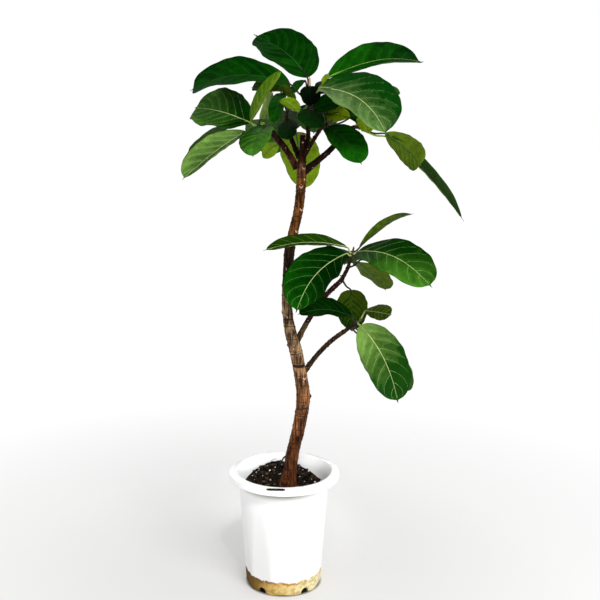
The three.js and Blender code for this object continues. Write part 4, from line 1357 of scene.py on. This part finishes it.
def make_foliage():
    limbs = limb_points()
    barks = [bark_material("stem_bark", (0.012, 0.009, 0.005), (0.055, 0.036, 0.020))]
    barks += plain_materials(STEM_COLORS)
    greens = tone_materials("stalk", STALK_TONES, 0.5, 0.4)
    midribs = tone_materials("midrib", MIDRIB_TONES, 0.6, 0.1)
    skins, laterals = {}, {}
    for tone, (shade, light, under, vein, shine) in TONES.items():
        pale = blended(vein, MIDRIB_TONES["pale"], 0.35)
        skins[tone] = leaf_materials(f"leaf_{tone}", shade, light, 0.42, shine)
        skins[tone].append(plain_material(f"leaf_{tone}_under", under, 0.7, 0.05))
        rows = ((f"vein_{tone}", vein, 0.6, 0.1), (f"vein_{tone}_pale", pale, 0.6, 0.1))
        laterals[tone] = plain_materials(rows)
    for number, (name, shoot) in enumerate(SHOOTS.items()):
        stem = shoot["stem"]
        leaves = [Leaf(stem, row, 100 * number + k) for k, row in enumerate(LEAVES[name])]
        extra = [Leaf(stem, row, 100 * number + 50 + k) for k, row in enumerate(fill_rows(shoot))]
        leaves += [leaf for leaf in extra if has_room(stem, leaf, limbs)]
        tones = sorted({leaf.tone for leaf in leaves})
        stalk_tones = sorted({leaf.stalk_tone for leaf in leaves})
        blades, veins, stems = Pool(), Pool(), Pool()
        add_stem(stems, name, leaves, 700 + number)
        for leaf in leaves:
            place, stalk = tones.index(leaf.tone), stalk_tones.index(leaf.stalk_tone)
            add_blade(blades, leaf, (LEVELS + 1) * place)
            add_veins(veins, leaf, 2 * place + (leaf.stalk_tone == "pale"), 2 * len(tones) + stalk)
            add_stalk(stems, leaf, len(barks) + stalk)
        lines = [material for tone in tones for material in laterals[tone]]
        pieces = {
            "blades": (blades, [material for tone in tones for material in skins[tone]]),
            "veins": (veins, lines + [midribs[tone] for tone in stalk_tones]),
            "stems": (stems, barks + [greens[tone] for tone in stalk_tones]),
        }
        for kind, (pool, materials) in pieces.items():
            pool.piece(f"{kind}_{name}", materials, "foliage", [f"foliage_{name}"])


# Studio
def make_camera():
    yaw, pitch, roll = math.radians(YAW), math.radians(PITCH), math.radians(ROLL)
    ahead = Vector((math.sin(yaw) * math.cos(pitch), math.cos(yaw) * math.cos(pitch), -math.sin(pitch)))
    right = Vector((math.cos(yaw), -math.sin(yaw), 0))
    up = right.cross(ahead)
    across = right * math.cos(roll) + up * math.sin(roll)
    above = up * math.cos(roll) - right * math.sin(roll)
    camera = new_object("camera", bpy.data.cameras.new("camera"))
    camera.data.lens = LENS_MM
    camera.data.sensor_width = SENSOR_MM
    camera.data.clip_end = 60
    turn = Matrix((across, above, -ahead)).transposed()
    camera.matrix_world = Matrix.Translation(EYE) @ turn.to_4x4()
    bpy.context.scene.camera = camera


def make_light(name, place, target, size, energy, spread=180):
    light = new_object(name, bpy.data.lights.new(name, "AREA"))
    light.data.shape = "DISK"
    light.data.size = size
    light.data.energy = energy
    light.data.spread = math.radians(spread)
    light.location = place
    light.rotation_euler = (Vector(target) - Vector(place)).to_track_quat("-Z", "Y").to_euler()
    light.visible_glossy = False


def make_studio():
    floor = new_mesh("studio_floor", around(9, turns(64), -0.0005), [list(range(64))])
    floor.data.materials.append(floor_material())
    world = bpy.data.worlds.new("studio_sky")
    world.use_nodes = True
    sky = Nodes(world.node_tree, "Background")
    dome = sky.span(sky.axes("Generated")["Z"], 0.55, 0.85, 0.75, 0.12)
    seen = sky.node("LightPath", {}).outputs["Is Camera Ray"]
    strength = sky.node("Math", {0: seen, 1: dome}, operation="MAXIMUM").outputs["Value"]
    sky.set({"Color": (1, 1, 1), "Strength": strength})
    scene = bpy.context.scene
    scene.world = world
    scene.view_settings.view_transform = "Standard"
    scene.view_settings.look = "None"
    make_light("key", (1.3, -2.2, 2.3), (0.05, 0, 0.6), 1.6, 80)
    make_light("mouth", (0.1, -1.2, 1.6), (-0.01, 0.08, 0.25), 0.2, 0.17, spread=14)


make_camera()
make_studio()
make_pot()
make_soil()
make_crumbs()
make_rim_litter()
make_trunk()
make_boughs()
make_foliage()
